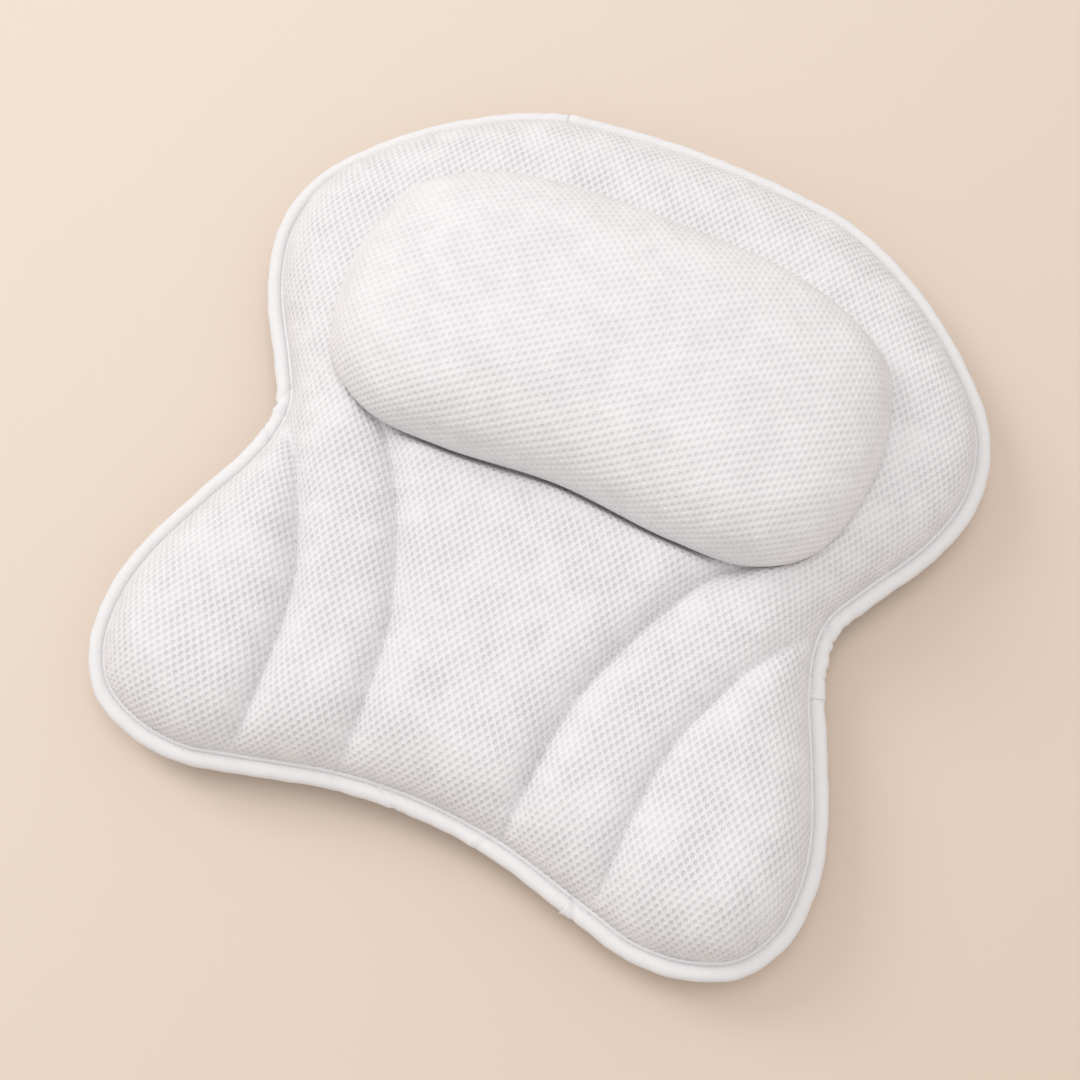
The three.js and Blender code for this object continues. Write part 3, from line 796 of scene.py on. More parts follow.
def cut_cell(cell, seam_of, sides):
    """The cell, or its two halves where a seam runs through it."""
    for number in set(seam_of[cell].tolist()) - {-1}:
        side = sides[number][cell]
        if side.max() > 0 > side.min():
            ring = [(float(side[k]), k) for k in range(len(cell))]
            turns = []
            last = next(s for s, _ in ring[::-1] if s)
            zero = ring[-1][1] if ring[-1][0] == 0 else None
            for s, k in ring:
                if s == 0:
                    zero = k
                elif s != last and zero is not None:
                    turns.append(zero)
                    last = s
            if len(turns) == 2 and abs(turns[0] - turns[1]) not in (0, 1, len(cell) - 1):
                low, high = sorted(turns)
                return [cell[low : high + 1], cell[high:] + cell[: low + 1]]
    return [cell]


# %% Cloth of six-sided cells
YARN_LIFT = 0.12 * MM
HALF_HOLE = 0.56
FIRST_CORNER = 20


def oval_shares(knit):
    """Six points of a hole as shares of the cell, in the order of the cell's corners."""
    turns = np.radians(round((FIRST_CORNER - knit.lean) / 60) * 60 + 60 * np.arange(6))
    right, up = turned(knit.half_long * np.cos(turns), knit.half_wide * np.sin(turns), knit.lean)
    return np.stack([right / knit.short, up / knit.rise], 1)


def sunk(point_at, places, depth):
    """Points under a surface, square to it."""
    along_p, along_q = slopes(point_at, *places.T)
    normal = np.cross(along_p, along_q)
    normal /= np.linalg.norm(normal, axis=1)[:, None]
    return point_at(*places.T) - normal * depth


def make_cloth(name, point_at, p, q, keep, pattern, knit, creases=()):
    """A closed sheet of cells over a surface. `keep` says which cells to make, `pattern` which get a hole."""
    low = (knit.rise - (knit.short / 2) ** 2 / knit.rise) / (2 * knit.rise)
    high = (1 - low) / 2
    tops = [low * v + high * (neighbour(v, 1, 0) + neighbour(v, 1, -1)) for v in (p, q)]
    sides = [high * (v + neighbour(v, 0, 1)) + low * neighbour(v, 1, 0) for v in (p, q)]
    rows, columns = p.shape
    corner_p = np.concatenate([tops[0].ravel(), sides[0].ravel()])
    corner_q = np.concatenate([tops[1].ravel(), sides[1].ravel()])
    number = np.arange(rows * columns).reshape(rows, columns)
    top, side = number, number + rows * columns
    r, c = np.nonzero(keep)
    above = [side[r, c], top[r, c], side[r, c - 1]]
    below = [top[r - 1, c], side[r - 1, c], top[r - 1, c + 1]]
    used, cells = np.unique(np.stack(above + below, 1), return_inverse=True)
    cells = cells.reshape(-1, 6)
    corners = np.stack([corner_p[used], corner_q[used]], 1)
    edges = np.concatenate([np.stack([cells[:, k], cells[:, (k + 1) % 6]], 1) for k in range(6)])
    corners, seam_of, sides = draw_to_seams(corners, edges, creases)
    right = [(neighbour(v, 0, 1) - neighbour(v, 0, -1))[r, c] / 2 for v in (p, q)]
    up = [neighbour(v, 1, 0) + neighbour(v, 1, -1) for v in (p, q)]
    up = [(v - neighbour(w, -1, 0) - neighbour(w, -1, 1))[r, c] / 4 for v, w in zip(up, (p, q))]
    frames = np.stack([np.stack(right, 1), np.stack(up, 1)], 1)
    ovals = oval_shares(knit) @ frames
    count = len(corners)
    seen = {(a, b) for a, b in edges.tolist()}
    border = sorted((a, b) for a, b in seen if (b, a) not in seen)
    faces, inner, rings = [], [], []
    first = 2 * count
    for cell, has_hole, oval in zip(cells.tolist(), pattern[r, c].tolist(), ovals):
        parts = cut_cell(cell, seam_of, sides)
        faces += [[corner + count for corner in part[::-1]] for part in parts]
        for part in parts:
            if not has_hole:
                faces.append(part)
                continue
            size = len(part)
            middle = corners[part].mean(0)
            rings.append(middle + (oval if len(parts) == 1 else (corners[part] - middle) * HALF_HOLE))
            for k in range(size):
                m = (k + 1) % size
                faces.append([part[k], part[m], first + m, first + k])
            inner.append([first + k for k in range(size)])
            first += size
    faces += [[b, a, a + count, b + count] for a, b in border]
    upper, lower = point_at(*corners.T), sunk(point_at, corners, CLOTH)
    yarn = sunk(point_at, np.concatenate(rings), -YARN_LIFT)
    mesh = bpy.data.meshes.new(name)
    mesh.from_pydata(np.concatenate([upper, lower, yarn]).tolist(), [], faces + inner)
    ends = np.zeros(len(mesh.edges) * 2, int)
    mesh.edges.foreach_get("vertices", ends)
    on_seam = np.concatenate([seam_of, seam_of, np.full(len(yarn), -1)])[ends.reshape(-1, 2)]
    for label, kind, domain, values in (
        ("knit", "FLOAT", "FACE", [0.0] * len(faces) + [1.0] * len(inner)),
        ("crest", "FLOAT", "POINT", [1.0] * (2 * count) + [0.0] * len(yarn)),
        ("sharp_edge", "BOOLEAN", "EDGE", (on_seam[:, 0] >= 0) & (on_seam[:, 0] == on_seam[:, 1])),
    ):
        mesh.attributes.new(label, kind, domain).data.foreach_set("value", values)
    print(name, "cells:", len(cells), "border edges:", len(border))
    return add_object(name, mesh)


# %% The tree that sinks the holes
class ShapeTree(Tree):
    """A Geometry Nodes tree that takes a shape, some named numbers and a material."""

    def __init__(self, name, numbers):
        super().__init__(bpy.data.node_groups.new(name, "GeometryNodeTree"))
        face = self.tree.interface
        face.new_socket("Geometry", in_out="INPUT", socket_type="NodeSocketGeometry")
        for label, value in numbers.items():
            face.new_socket(label, in_out="INPUT", socket_type="NodeSocketFloat").default_value = value
        face.new_socket("Material", in_out="INPUT", socket_type="NodeSocketMaterial")
        face.new_socket("Geometry", in_out="OUTPUT", socket_type="NodeSocketGeometry")
        self.given = self.node("NodeGroupInput").outputs

    def finished(self, shape):
        """The tree, once its last nodes make real faces, shade them smooth and set the material."""
        real = self.node("GeometryNodeRealizeInstances", Geometry=shape).outputs[0]
        smooth = self.node("GeometryNodeSetShadeSmooth", Geometry=real).outputs[0]
        last = self.node("GeometryNodeSetMaterial", Geometry=smooth, Material=self.given["Material"])
        self.node("NodeGroupOutput", Geometry=last.outputs[0])
        return self.tree


def sink_tree(name):
    """Sinks each marked face and marks the holes and their rims."""
    tree = ShapeTree(name, {"Hole share": 0.92, "Hole depth": 0.16 * MM})
    knit = tree.node("GeometryNodeInputNamedAttribute", {"data_type": "FLOAT"}, Name="knit").outputs[0]
    marked = tree.node("FunctionNodeCompare", {"operation": "GREATER_THAN"}, A=knit, B=0.5).outputs[0]
    sunk_faces = tree.node(
        "GeometryNodeExtrudeMesh", {"mode": "FACES"}, Mesh=tree.given["Geometry"], Selection=marked,
        Offset_Scale=tree.value(tree.given["Hole depth"]) * -1, Individual=True,
    ).outputs
    shape = tree.node(
        "GeometryNodeScaleElements", Geometry=sunk_faces["Mesh"], Selection=sunk_faces["Top"],
        Scale=tree.given["Hole share"],
    ).outputs["Geometry"]
    for label, faces in (("hole", sunk_faces["Top"]), ("rim", sunk_faces["Side"])):
        shape = tree.node(
            "GeometryNodeStoreNamedAttribute", {"data_type": "FLOAT", "domain": "FACE"},
            Geometry=shape, Selection=faces, Name=label, Value=1,
        ).outputs["Geometry"]
    return tree.finished(shape)


def keep_result(piece):
    """Gives a piece the mesh that its modifiers make, and takes the modifiers away."""
    result = bpy.data.meshes.new_from_object(piece.evaluated_get(bpy.context.evaluated_depsgraph_get()))
    piece.modifiers.clear()
    piece.data = result
    result.name = piece.name
    return result


def apply_tree(piece, tree, **inputs):
    """Runs a tree on a piece with the given inputs and keeps the result as a plain mesh."""
    modifier = piece.modifiers.new("nodes", "NODES")
    modifier.node_group = tree
    for item in tree.interface.items_tree:
        key = item.name.replace(" ", "_")
        if item.in_out == "INPUT" and key in inputs:
            modifier[item.identifier] = inputs[key]
    keep_result(piece)


def belongs(piece, node=None, body="cushion"):
    """Hides the CAD node that a piece replaces, if there is one, and attaches the piece to its body."""
    if node:
        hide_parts(node)
    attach(piece, body)


knit_tree = sink_tree("knit_cells")
print("tree nodes:", len(knit_tree.nodes))

# %% [markdown]
# ## The front cover
#
# One sheet of mesh runs over the whole cushion. Its rows lie across the pillow, 3.2 mm apart, with cells
# 4.3 mm wide. The net is first laid flat and then settles, and the cells that end up under the tape's fold
# are the last ones kept. Under the bolster nobody can see holes, so the cells there stay plain.

# %% Front cover
CUSHION_KNIT = Knit(4.34 * MM, 3.16 * MM, 1.93 * MM, 1.34 * MM, 84)
ROUNDS = 120
HEM = 6.2 * MM
HOLES_END = 4 * MM
PLAIN_DEPTH = 9 * MM
FRONT_TURN = 2
FRONT_HALF = 330 * MM


def walk_ends(surface, along, across):
    """A function that says where walks of given lengths end, each on the grid line nearest to it."""
    far = np.cumsum(np.hypot(np.gradient(surface, STEP, axis=1), 1) * STEP, 1)
    far -= far[:, len(along) // 2][:, None]

    def ends(lengths, aside):
        lines = np.clip(np.round((aside - across[0]) / STEP).astype(int), 0, len(across) - 1)
        result = np.zeros_like(lengths)
        for line in np.unique(lines):
            here = lines == line
            result[here] = np.interp(lengths[here], far[line], along)
        return result

    return ends


def walk_rows(p, q):
    """A first guess: every cell walks its flat distance over the cushion, both across and up."""
    right, up = walk_ends(height, grid_x, grid_y), walk_ends(height.T, grid_y, grid_x)
    x, y = p, q
    for _ in range(4):
        x, y = (x + right(p, y)) / 2, (y + up(q, x)) / 2
    return x, y


net_p, net_q, net_active = flat_net(CUSHION_KNIT, FRONT_TURN, FRONT_HALF, FRONT_HALF)
net_p, net_q = walk_rows(net_p, net_q)
net_active &= (np.abs(net_p) < GRID_HALF_X - STEP / 2) & (np.abs(net_q) < GRID_HALF_Y - STEP / 2)
net_p, net_q = settle(cushion_point, net_p, net_q, CUSHION_KNIT, net_active, ROUNDS)
inside_edge = read_grid(edge_distance, net_p, net_q)
kept = net_active & (inside_edge > -HEM)
under_bolster = read_grid(np.where(in_seat, seat_distance, 0), net_p, net_q) > PLAIN_DEPTH
holed = (inside_edge > -HOLES_END) & ~under_bolster
front_cover = make_cloth("front_cover_mesh", cushion_point, net_p, net_q, kept, holed, CUSHION_KNIT, seams)
apply_tree(front_cover, knit_tree, Material=air_mesh)
belongs(front_cover, "front_cover")
print("front cover faces:", len(front_cover.data.polygons))

# %% [markdown]
# ## The bolster's cover
#
# The same knit, turned a quarter, with its rows pulled a little wider by the bulge. The walk from the peak is
# nearly the lie of real cloth already, so the springs only even it out. The rim would need less cloth than
# there is, as on the real one, where it is gathered. The cloth turns under at the foot and ends on the seat.

# %% Bolster cover
BOLSTER_KNIT = Knit(4.9 * MM, 3.07 * MM, 1.7 * MM, 1.45 * MM, -32)
BOLSTER_TURN = 85.4
BOLSTER_HALF_P, BOLSTER_HALF_Q = 240 * MM, 180 * MM
BOLSTER_ROUNDS = 8
EVENING = 0.03
PAST_FOOT = 25 * MM
FOOT_MARGIN = 1.5 * MM


def ray_ends(p, q):
    """How far the walks towards p and q go before they reach the bolster's foot."""
    return np.interp(np.arctan2(q, p), ray_angles, ray_lengths)


net_p, net_q, net_active = flat_net(BOLSTER_KNIT, BOLSTER_TURN, BOLSTER_HALF_P, BOLSTER_HALF_Q)
net_p, net_q = hang_cloth(net_p, net_q)
net_active &= np.hypot(net_p, net_q) < ray_ends(net_p, net_q) + PAST_FOOT
net_p, net_q = settle(bolster_point, net_p, net_q, BOLSTER_KNIT, net_active, BOLSTER_ROUNDS, EVENING)
kept = net_active & (np.hypot(net_p, net_q) < ray_ends(net_p, net_q) - FOOT_MARGIN)
holed = np.ones(kept.shape, bool)
bolster_cover = make_cloth("bolster_cover_mesh", bolster_point, net_p, net_q, kept, holed, BOLSTER_KNIT)
apply_tree(bolster_cover, knit_tree, Material=bolster_mesh)
belongs(bolster_cover, "bolster_cover")
print("bolster faces:", len(bolster_cover.data.polygons))

# %% [markdown]
# ## The edge tape
#
# A woven tape is folded over the raw edges of both covers and stitched through. Its section is one closed
# outline: a round fold outside, a full upper face, a groove where the stitches pull it down, a thin raised
# lip inside, and the slot that holds the cloth. The section is swept round the outline. Where the tape has to
# turn sharply, at the two notches of the waist, it crumples, and a few creases cross it elsewhere.

# %% Sweep a section along the edge
ring_place = lengths_along(looped(outline))
RING = len(outline)


def add_band(name, grid, lengths, section, closed_path=False):
    """Tape over a grid of points: rows follow the path, columns the closed section. UVs are millimetres."""
    widths = lengths_along(looped(section))
    rows, columns = grid.shape[:2]
    faces, uvs = [], []
    for i in range(rows if closed_path else rows - 1):
        k = (i + 1) % rows
        for j in range(columns):
            m = (j + 1) % columns
            faces.append([i * columns + j, i * columns + m, k * columns + m, k * columns + j])
            uvs += [(lengths[i], widths[j]), (lengths[i], widths[j + 1]),
                    (lengths[i + 1], widths[j + 1]), (lengths[i + 1], widths[j])]
    if not closed_path:
        faces += [list(range(columns))[::-1], [(rows - 1) * columns + j for j in range(columns)]]
        uvs += [(lengths[0], w) for w in widths[:-1]][::-1] + [(lengths[rows - 1], w) for w in widths[:-1]]
    mesh = bpy.data.meshes.new(name)
    mesh.from_pydata(grid.reshape(-1, 3).tolist(), [], faces)
    layer = mesh.uv_layers.new(name="cloth")
    layer.data.foreach_set("uv", (np.array(uvs) / MM).ravel())
    check = bmesh.new()
    check.from_mesh(mesh)
    if check.calc_volume(signed=True) < 0:
        bmesh.ops.reverse_faces(check, faces=check.faces)
    check.to_mesh(mesh)
    check.free()
    mesh.shade_smooth()
    mesh.materials.append(tape_cloth)
    return add_object(name, mesh)


TAPE_SECTION = np.array([
    (9.7, 21.9), (9.75, 21.0), (9.3, 20.4), (8.5, 20.5), (7.9, 20.9), (7.2, 20.5), (5.6, 20.1), (3.6, 20.0),
    (2.0, 20.4), (0.9, 21.3), (0.2, 22.6), (0.0, 24.1), (0.15, 25.6), (0.8, 27.0), (1.9, 28.1), (3.3, 28.7),
    (4.9, 28.85), (6.3, 28.5), (7.25, 27.75), (7.7, 26.95), (8.2, 26.95), (8.6, 28.2), (9.3, 28.7),
    (10.2, 28.3), (9.9, 26.85), (6.0, 26.6), (2.2, 26.5), (1.7, 24.1), (2.2, 21.8), (6.0, 21.75),
]) * MM
SECTION_MIDDLE = np.array([5.0, 24.1]) * MM
UPPER_START = 24 * MM
UPPER_SPAN = 4 * MM
OUTER_SPAN = 5 * MM
NOTCH_REACH = 17 * MM
# Waves of the tape, as a height and the lengths of their sines: up, outwards, and both again at a notch.
LIFT_WAVES = (0.28 * MM, [97 * MM, 41 * MM, 23 * MM])
PUSH_WAVES = (0.35 * MM, [83 * MM, 37 * MM, 17 * MM])
NOTCH_LIFTS = (1.0 * MM, [9.7 * MM, 6.1 * MM, 4.3 * MM])
NOTCH_PUSHES = (0.75 * MM, [8.3 * MM, 5.3 * MM])
CREASE_LIFT, CREASE_PUSH = 0.8, 0.45
NOTCHES = [(168.1, -27.7), (-168.1, -27.7)]
# Each crease: its place in the plan, its slant, its depth and its width, in millimetres.
CREASES = [
    (-45, -203, 0.5, 0.7, 2.0), (-20, -200, 1.3, 1.1, 1.6), (-13, -199, 1.2, 0.6, 1.3),
    (38, -202, -0.6, 0.8, 1.8), (-86, 213, 0.9, 0.9, 3.0), (-104, 209, -0.4, 0.6, 2.2),
    (92, -211, 0.6, 1.1, 1.2), (168, -49, 0.3, 1.0, 1.3), (-165, -15, 0.9, 1.1, 1.6),
    (-162, -36, -0.8, 1.2, 1.7), (-167, -26, 0.3, 1.3, 1.5), (-171, -45, 0.5, 0.6, 1.9),
    (166, -24, -0.7, 0.9, 1.7), (171, -10, 0.6, 0.7, 2.0), (168, -38, 0.8, 0.9, 1.6),
    (206, 30, 0.4, 0.4, 2.4),
]
total_length = float(ring_place[-1])


def ring_gap(place, x, y):
    """Signed distance round the ring from the point nearest to a place in millimetres, the short way."""
    start = ring_place[nearest_row((x * MM, y * MM))]
    return (place - start + total_length / 2) % total_length - total_length / 2


def bell(values, width):
    """1 at the middle, and fading to nothing at about twice the width."""
    return np.exp(-((values / width) ** 2))


def tall_waves(place, kind, seed):
    """Waves of one of the tape's kinds at their full height."""
    return waves(place, kind[1], seed) * kind[0]


def tape_point(place, base, inward, depth, level):
    """Moves a point of the tape's section by its waves, crumples and creases."""
    upper = np.clip((level - UPPER_START) / UPPER_SPAN, 0, 1)
    outer = np.clip(1 - depth / OUTER_SPAN, 0, 1)
    lift = tall_waves(place, LIFT_WAVES, 31) * upper
    push = tall_waves(place, PUSH_WAVES, 32) * outer
    for k, notch in enumerate(NOTCHES):
        near = bell(ring_gap(place, *notch), NOTCH_REACH)
        lift += near * tall_waves(place + depth * 0.5, NOTCH_LIFTS, 41 + k) * upper
        push += near * tall_waves(place, NOTCH_PUSHES, 51 + k) * outer
    for x, y, slant, deep, wide in CREASES:
        off = ring_gap(place, x, y) - slant * (depth - OUTER_SPAN)
        fold = bell(off, wide * MM) - 0.55 * bell(off - 2.4 * wide * MM, 1.3 * wide * MM)
        lift -= fold * deep * MM * CREASE_LIFT * upper
        push += fold * deep * MM * CREASE_PUSH * outer
    plan = base + inward * (depth + push)[..., None]
    return np.concatenate([plan, (level + lift)[..., None]], -1)


def tape_grid(rows, section, grow=0.0):
    """The swept section at some rows of the ring, grown outwards by a distance."""
    out = section - SECTION_MIDDLE
    out /= np.linalg.norm(out, axis=1)[:, None]
    depth, level = (section + out * grow).T
    place, base, inward = (values[rows][:, None] for values in (ring_place, outline, ring_inward))
    return tape_point(place, base, inward, depth[None], level[None])


all_rows = np.arange(RING)
tape = add_band("edge_tape", tape_grid(all_rows, TAPE_SECTION), ring_place, TAPE_SECTION, True)
belongs(tape, "edge_binding")
print("tape faces:", len(tape.data.polygons))

# %% [markdown]
# ### Where the tape's ends overlap
#
# The tape is sewn on in pieces. Each joint is a short, slightly larger length of the same section laid over
# the first, with its cut end showing. One corner stands out a little, as it does on the real one.

# %% Tape laps
LAP_SECTION = TAPE_SECTION[:24]


def make_lap(name, x, y, length, grow, corner):
    """A length of tape laid over the first, thicker towards its cut end."""
    middle, half = nearest_row((x * MM, y * MM)), int(length / (ring_place[1] * 2))
    rows = np.arange(middle - half, middle + half + 1) % RING
    outer = tape_grid(rows, LAP_SECTION, grow)
    inner = tape_grid(rows, LAP_SECTION, -0.25 * MM)
    rise = np.linspace(0.05, 1, len(rows))[:, None, None]
    outer = inner + (outer - inner) * rise
    tail = np.clip(np.linspace(-2.2, 1, len(rows)), 0, 1)[:, None, None] ** 2
    nose = np.clip(1 - np.abs(np.arange(len(LAP_SECTION)) - 12) / 4, 0, 1)[None, :, None]
    out = np.concatenate([-ring_inward[rows], np.zeros((len(rows), 1))], 1)[:, None, :]
    outer = outer + out * tail * nose * corner
    grid = np.concatenate([outer, inner[:, ::-1]], 1)
    lap = add_band(name, grid, ring_place[rows], np.concatenate([LAP_SECTION, LAP_SECTION[::-1] * 0.98]))
    belongs(lap)


make_lap("tape_lap_foot", 93.8, -210.4, 13 * MM, 0.55 * MM, 1.5 * MM)
make_lap("tape_lap_waist", 168.3, -52.8, 12 * MM, 0.5 * MM, 0.5 * MM)
make_lap("tape_lap_head", -94.5, 208, 16 * MM, 0.45 * MM, 0.2 * MM)

# %% [markdown]
# ## Stitches
#
# A seam is a row of short thread lengths with a small gap between them. Geometry Nodes turn a line into a
# curve, resample it at the stitch pitch, and put one small rounded thread at every point, turned along the
# line. A stitch has only 32 faces, because there are some hundreds of them.

# %% The stitch tree
def stitch_tree(name):
    """Puts a small thread, turned along the line, at every pitch of a line."""
    tree = ShapeTree(name, {"Pitch": 3.3 * MM, "Length": 2.7 * MM, "Thread": 0.5 * MM})
    line = tree.node("GeometryNodeMeshToCurve", Mesh=tree.given["Geometry"]).outputs["Curve"]
    pitch = tree.given["Pitch"]
    places = tree.node("GeometryNodeResampleCurve", {"mode": "LENGTH"}, Curve=line, Length=pitch)
    tangent = tree.node("GeometryNodeInputTangent").outputs["Tangent"]
    turn = tree.node("FunctionNodeAlignEulerToVector", {"axis": "X"}, Vector=tangent)
    ball = tree.node("GeometryNodeMeshUVSphere", Segments=8, Rings=4, Radius=0.5).outputs["Mesh"]
    length, width = tree.given["Length"], tree.given["Thread"]
    size = tree.node("ShaderNodeCombineXYZ", X=length, Y=width, Z=width).outputs[0]
    stitch = tree.node("GeometryNodeTransform", Geometry=ball, Scale=size).outputs["Geometry"]
    row = tree.node(
        "GeometryNodeInstanceOnPoints", Points=places.outputs["Curve"], Instance=stitch,
        Rotation=turn.outputs["Rotation"],
    )
    return tree.finished(row.outputs["Instances"])


stitches = stitch_tree("stitch_row")


def make_stitches(name, lines, **inputs):
    """Stitches along one or more lines of points, each given as (points, closed)."""
    points, edges = [], []
    for line, closed in lines:
        first = len(points)
        points += [tuple(p) for p in line]
        edges += [(first + k, first + k + 1) for k in range(len(line) - 1)]
        if closed:
            edges.append((first + len(line) - 1, first))
    mesh = bpy.data.meshes.new(name)
    mesh.from_pydata(points, edges, [])
    piece = add_object(name, mesh)
    apply_tree(piece, stitches, Material=thread, **inputs)
    belongs(piece)
    print(name, "faces:", len(piece.data.polygons))


# %% Rows of stitches
GROOVES = np.array([(7.95, 27.0), (7.9, 20.75)]) * MM
FOOT_SHARE = 0.935
groove_lines = [(tape_grid(all_rows, groove[None])[:, 0], True) for groove in GROOVES]
make_stitches("tape_stitches", groove_lines, Pitch=3.3 * MM, Length=2.6 * MM, Thread=0.36 * MM)
seam_lines = []
for seam in seams:
    line = even_points(seam, 2 * MM)
    level = read_grid(height, line[:, 0], line[:, 1])[:, None]
    seam_lines.append((np.concatenate([line, level + 0.1 * MM], 1)[2:-1], False))
make_stitches("channel_stitches", seam_lines, Pitch=3.4 * MM, Length=2.5 * MM, Thread=0.55 * MM)
foot = bolster_outline * FOOT_SHARE + np.array([0, bolster_y])
foot = np.concatenate([foot, np.full((len(foot), 1), SEAT_TOP + 0.5 * MM)], 1)
make_stitches("bolster_stitches", [(foot, True)], Pitch=3.6 * MM, Length=2.8 * MM, Thread=0.5 * MM)

# %% [markdown]
# ## The back cover
#
# Nobody sees it in the photograph. Such pillows have the same mesh behind, sewn through at the same channels,
# so it bulges down a few millimetres between the seams and lies flat round each eyelet.

# %% Where the suction cups are
cup_places = {}
for body in frame["bodies"]:
    if body.startswith("cup_"):
        low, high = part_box("eyelet_" + body[4:])
        cup_places[body[4:]] = ((low + high) / 2).to_2d()
print("cups:", {name: tuple(round(v / MM) for v in place) for name, place in cup_places.items()})

# %% Back cover
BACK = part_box("back_cover")[0].z
BACK_BULGE = 4 * MM
BACK_REACH = 60 * MM
BACK_SEAM_REACH = 30 * MM
BACK_PINCH = 0.35
FLAT_ROUND_CUP = 13 * MM
CUP_BLEND = 26 * MM
CUP_OPENING = 9.2 * MM
near_cup = np.full(plan_x.shape, 1.0)
for place in cup_places.values():
    near_cup = np.minimum(near_cup, np.hypot(plan_x - place.x, plan_y - place.y))
back_puff = swelling(lip_distance / BACK_REACH)
for distance, place in seam_fields:
    back_puff = back_puff * (BACK_PINCH + (1 - BACK_PINCH) * swelling(distance / BACK_SEAM_REACH))
from_cups = eased((near_cup - FLAT_ROUND_CUP) / CUP_BLEND)
back_height = BACK - BACK_BULGE * np.where(in_lip, back_puff, 0) * from_cups


def back_point(p, q):
    """The back cover seen from below, so that its knitted face points down."""
    return np.stack([-p, q, read_grid(back_height, -p, q)], -1)


net_p, net_q, net_active = flat_net(CUSHION_KNIT, 0, 0.23, 0.235)
inside_edge = read_grid(edge_distance, -net_p, net_q)
kept = net_active & (inside_edge > -HEM) & (read_grid(near_cup, -net_p, net_q) > CUP_OPENING)
back_cover = make_cloth("back_cover_mesh", back_point, net_p, net_q, kept, kept, CUSHION_KNIT, seams)
apply_tree(back_cover, knit_tree, Material=back_mesh)
belongs(back_cover, "back_cover")

# %% [markdown]
# ## The filling
#
# Loose polyester fibre fills the bolster and each channel. It is out of sight until the pillow is taken
# apart.
# Each pad starts from its CAD solid: a voxel remesh gives it even faces, a smooth takes off the edges, and a
# cloud texture makes the lumps of stuffing.

# %% Pads
lumps = bpy.data.textures.new("lumps", "CLOUDS")
lumps.noise_scale = 0.018
PADS = [
    "bolster_fill", "head_pad", "centre_pad", "channel_pad_right", "channel_pad_left", "lobe_pad_right",
    "lobe_pad_left",
]


def make_pad(node):
    """A soft copy of a CAD pad, with even faces and the lumps of loose fibre."""
    mesh = frame["nodes"][node].data.copy()
    shell = bmesh.new()
    shell.from_mesh(mesh)
    bmesh.ops.remove_doubles(shell, verts=shell.verts, dist=0.01 * MM)
    shell.to_mesh(mesh)
    shell.free()
    pad = add_object(node + "_fibre", mesh)
    remesh = pad.modifiers.new("even faces", "REMESH")
    remesh.mode = "VOXEL"
    remesh.voxel_size = 3.5 * MM
    smooth = pad.modifiers.new("soften", "SMOOTH")
    smooth.iterations = 3
    lump = pad.modifiers.new("lumps", "DISPLACE")
    lump.texture = lumps
    lump.texture_coords = "LOCAL"
    lump.strength = 1.0 * MM
    lump.mid_level = 0.75
    result = keep_result(pad)
    result.shade_smooth()
    result.materials.clear()
    result.materials.append(filling)
    belongs(pad, node)
    print(pad.name, "faces:", len(result.polygons))


for node in PADS:
    make_pad(node)

# %% [markdown]
# ## Suction cups, eyelets and washers
#
# These are turned parts, so each is a profile spun about its own vertical line, with its corners rounded as
# moulding leaves them. A cup is soft clear vinyl with a pull tab on its rim. The eyelet and washer are white
# plastic and clamp the back cover between them.

# %% Turned parts
TURNS = 56
directions = [(math.cos(a), math.sin(a)) for a in np.arange(TURNS) * 2 * math.pi / TURNS]


def rounded(profile, radius=0.35 * MM, steps=3):
    """A closed profile with each corner replaced by a small curve."""
    points = [np.array(p, float) * MM for p in profile]
    result = []
    for i, corner in enumerate(points):
        before, after = points[i - 1], points[(i + 1) % len(points)]
        if corner[0] < 1e-6:
            result.append(corner)
            continue
        back, ahead = np.linalg.norm(before - corner), np.linalg.norm(after - corner)
        reach = min(radius, back * 0.4, ahead * 0.4)
        enter = corner + (before - corner) / back * reach
        leave = corner + (after - corner) / ahead * reach
        for t in np.linspace(0, 1, steps):
            result.append(enter * (1 - t) ** 2 + corner * 2 * t * (1 - t) + leave * t**2)
    return result


def spun(profile, centre):
    """A solid of revolution from a closed profile of radius and height."""
    shape = bmesh.new()
    rings = []
    for radius, level in profile:
        if radius < 1e-6:
            rings.append([shape.verts.new((centre.x, centre.y, level))] * TURNS)
        else:
            places = [(centre.x + radius * x, centre.y + radius * y, level) for x, y in directions]
            rings.append([shape.verts.new(place) for place in places])
    for i, ring in enumerate(rings):
        other = rings[(i + 1) % len(rings)]
        if ring[0] is ring[1] and other[0] is other[1]:
            continue
        for j in range(TURNS):
            k = (j + 1) % TURNS
            corners = [ring[j], ring[k], other[k], other[j]]
            corners = [v for n, v in enumerate(corners) if v is not corners[n - 1]]
            shape.faces.new(corners)
    bmesh.ops.recalc_face_normals(shape, faces=shape.faces)
    return shape


def add_turned(name, shape, material, node, body="cushion"):
    """Makes a piece of the scene from a finished turned shape."""
    mesh = bpy.data.meshes.new(name)
    shape.to_mesh(mesh)
    shape.free()
    mesh.shade_smooth()
    mesh.materials.append(material)
    belongs(add_object(name, mesh), node, body)


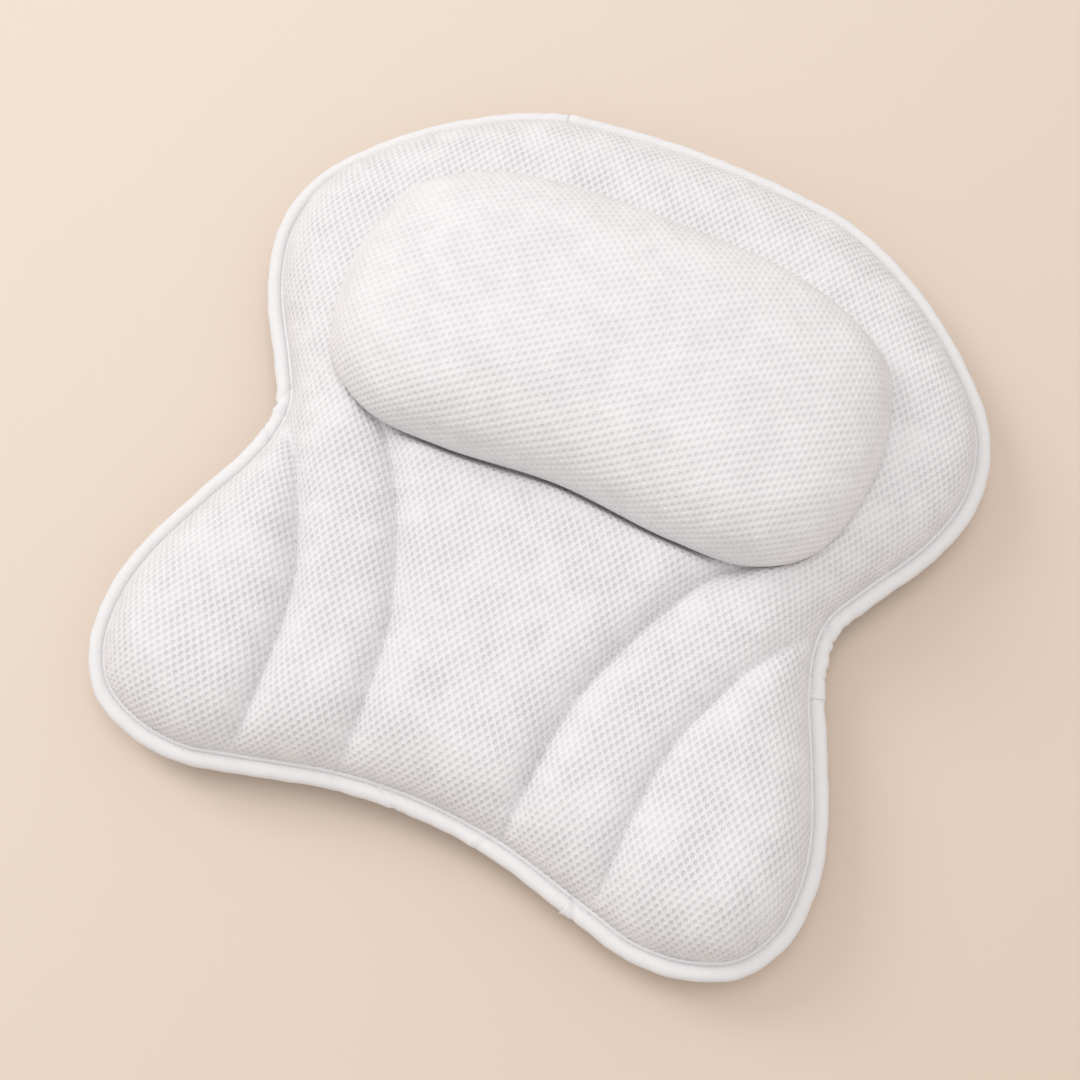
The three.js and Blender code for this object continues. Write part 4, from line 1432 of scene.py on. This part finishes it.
CUP_PROFILE = [
    (0, 6.5), (9, 6.2), (15, 5.1), (20.5, 3.2), (24.2, 1.0), (25.3, 0.0), (28, 0.0), (28, 1.0), (27, 1.9),
    (23, 5.2), (19, 7.6), (15.2, 9.2), (11.5, 10.3), (8.9, 11.6), (8.5, 13.5), (8.5, 20.2), (5.0, 20.2),
    (5.0, 27.0), (7.9, 27.0), (8.0, 28.3), (6.9, 29.6), (5.2, 30.7), (3.2, 31.0), (0, 31.0),
]
EYELET_PROFILE = [
    (5.3, 20.5), (10.5, 20.5), (10.5, 21.7), (6.4, 21.7), (6.4, 25.8), (8.4, 25.8), (8.4, 26.1), (6.4, 26.7),
    (5.3, 26.7),
]
WASHER_PROFILE = [(6.7, 24.3), (10.5, 24.3), (10.5, 25.5), (6.7, 25.5)]
GRIP_RIDGES = (-29.2, -30.8, -32.4)


def add_tab(shape, centre):
    """The pull tab: a rounded tongue on the rim, with three grip ridges across it."""
    corners = [(-5.5, -26.2), (5.5, -26.2), (5.5, -31.5)]
    corners += [(5.5 * math.cos(a), -31.5 - 3.4 * math.sin(a)) for a in np.linspace(0.3, math.pi - 0.3, 9)]
    corners += [(-5.5, -31.5)]
    rings = []
    for narrow, shorter, level in ((1, 1, 0.6), (0.94, 0.995, 2.2)):
        places = [(centre.x + x * MM * narrow, centre.y + y * MM * shorter, level * MM) for x, y in corners]
        rings.append([shape.verts.new(place) for place in places])
    lower, upper = rings
    shape.faces.new(lower[::-1])
    shape.faces.new(upper)
    for n in range(len(lower)):
        m = (n + 1) % len(lower)
        shape.faces.new([lower[n], lower[m], upper[m], upper[n]])
    for y in GRIP_RIDGES:
        ridge = bmesh.ops.create_cube(shape, size=1)["verts"]
        bmesh.ops.scale(shape, vec=(8 * MM, 0.6 * MM, 0.7 * MM), verts=ridge)
        bmesh.ops.translate(shape, vec=(centre.x, centre.y + y * MM, 2.3 * MM), verts=ridge)
    bmesh.ops.recalc_face_normals(shape, faces=shape.faces)


for name, centre in cup_places.items():
    cup = spun(rounded(CUP_PROFILE), centre)
    add_tab(cup, centre)
    add_turned(f"cup_{name}_vinyl", cup, clear_vinyl, f"suction_cup_{name}", f"cup_{name}")
    eyelet = spun(rounded(EYELET_PROFILE, 0.25 * MM), centre)
    add_turned(f"eyelet_{name}_ring", eyelet, white_plastic, f"eyelet_{name}")
    washer = spun(rounded(WASHER_PROFILE, 0.3 * MM), centre)
    add_turned(f"washer_{name}_ring", washer, white_plastic, f"eyelet_washer_{name}")
print("cups, eyelets and washers:", 3 * len(cup_places))

# %% [markdown]
# ## Floor and light
#
# The floor is plain and peach. Its colour is a little darker towards the picture's lower right, away from the
# light: painted light fall-off. One large soft light comes from the left into a pale room, so the shadow
# falls to the right.

# %% Floor
def make_floor_finish():
    finish = Finish("floor_paint")
    x, y = finish.axes("Object")
    across = x * 0.919 + y * 0.394
    down = x * 0.394 - y * 0.919
    # Painted light fall-off: the colour darkens towards the picture's lower right, away from the light.
    share = (across * 0.85 + down * 0.75 + 0.42).clamped()
    return finish.set(
        Base_Color=finish.blend(share, (0.802, 0.684, 0.589, 1), (0.72, 0.583, 0.477, 1)),
        Roughness=0.9,
        Specular_IOR_Level=0.1,
    )


FLOOR_LEVEL = -0.1 * MM
floor_corners = [(x, y, FLOOR_LEVEL) for x, y in ((-4, -4), (4, -4), (4, 4), (-4, 4))]
floor_mesh = bpy.data.meshes.new("floor")
floor_mesh.from_pydata(floor_corners, [], [(0, 1, 2, 3)])
floor_mesh.materials.append(make_floor_finish())
floor = add_object("floor", floor_mesh)


# %% Lights
def add_light(name, place, size, power):
    """A round soft light that points at the pillow."""
    light = bpy.data.lights.new(name, "AREA")
    light.shape = "DISK"
    light.size = size
    light.energy = power
    aim(add_object(name, light), place, (0, 0, 0))


add_light("window", (-3.0, 0.7, 2.3), 1.7, 42)
add_light("overhead", (0, 0.3, 3.5), 2.2, 36)
world = bpy.data.worlds.new("room")
world.use_nodes = True
room = world.node_tree.nodes["Background"].inputs
room["Color"].default_value = (1, 0.985, 0.97, 1)
room["Strength"].default_value = 0.65
bpy.context.scene.world = world
bpy.context.scene.view_settings.view_transform = "Standard"
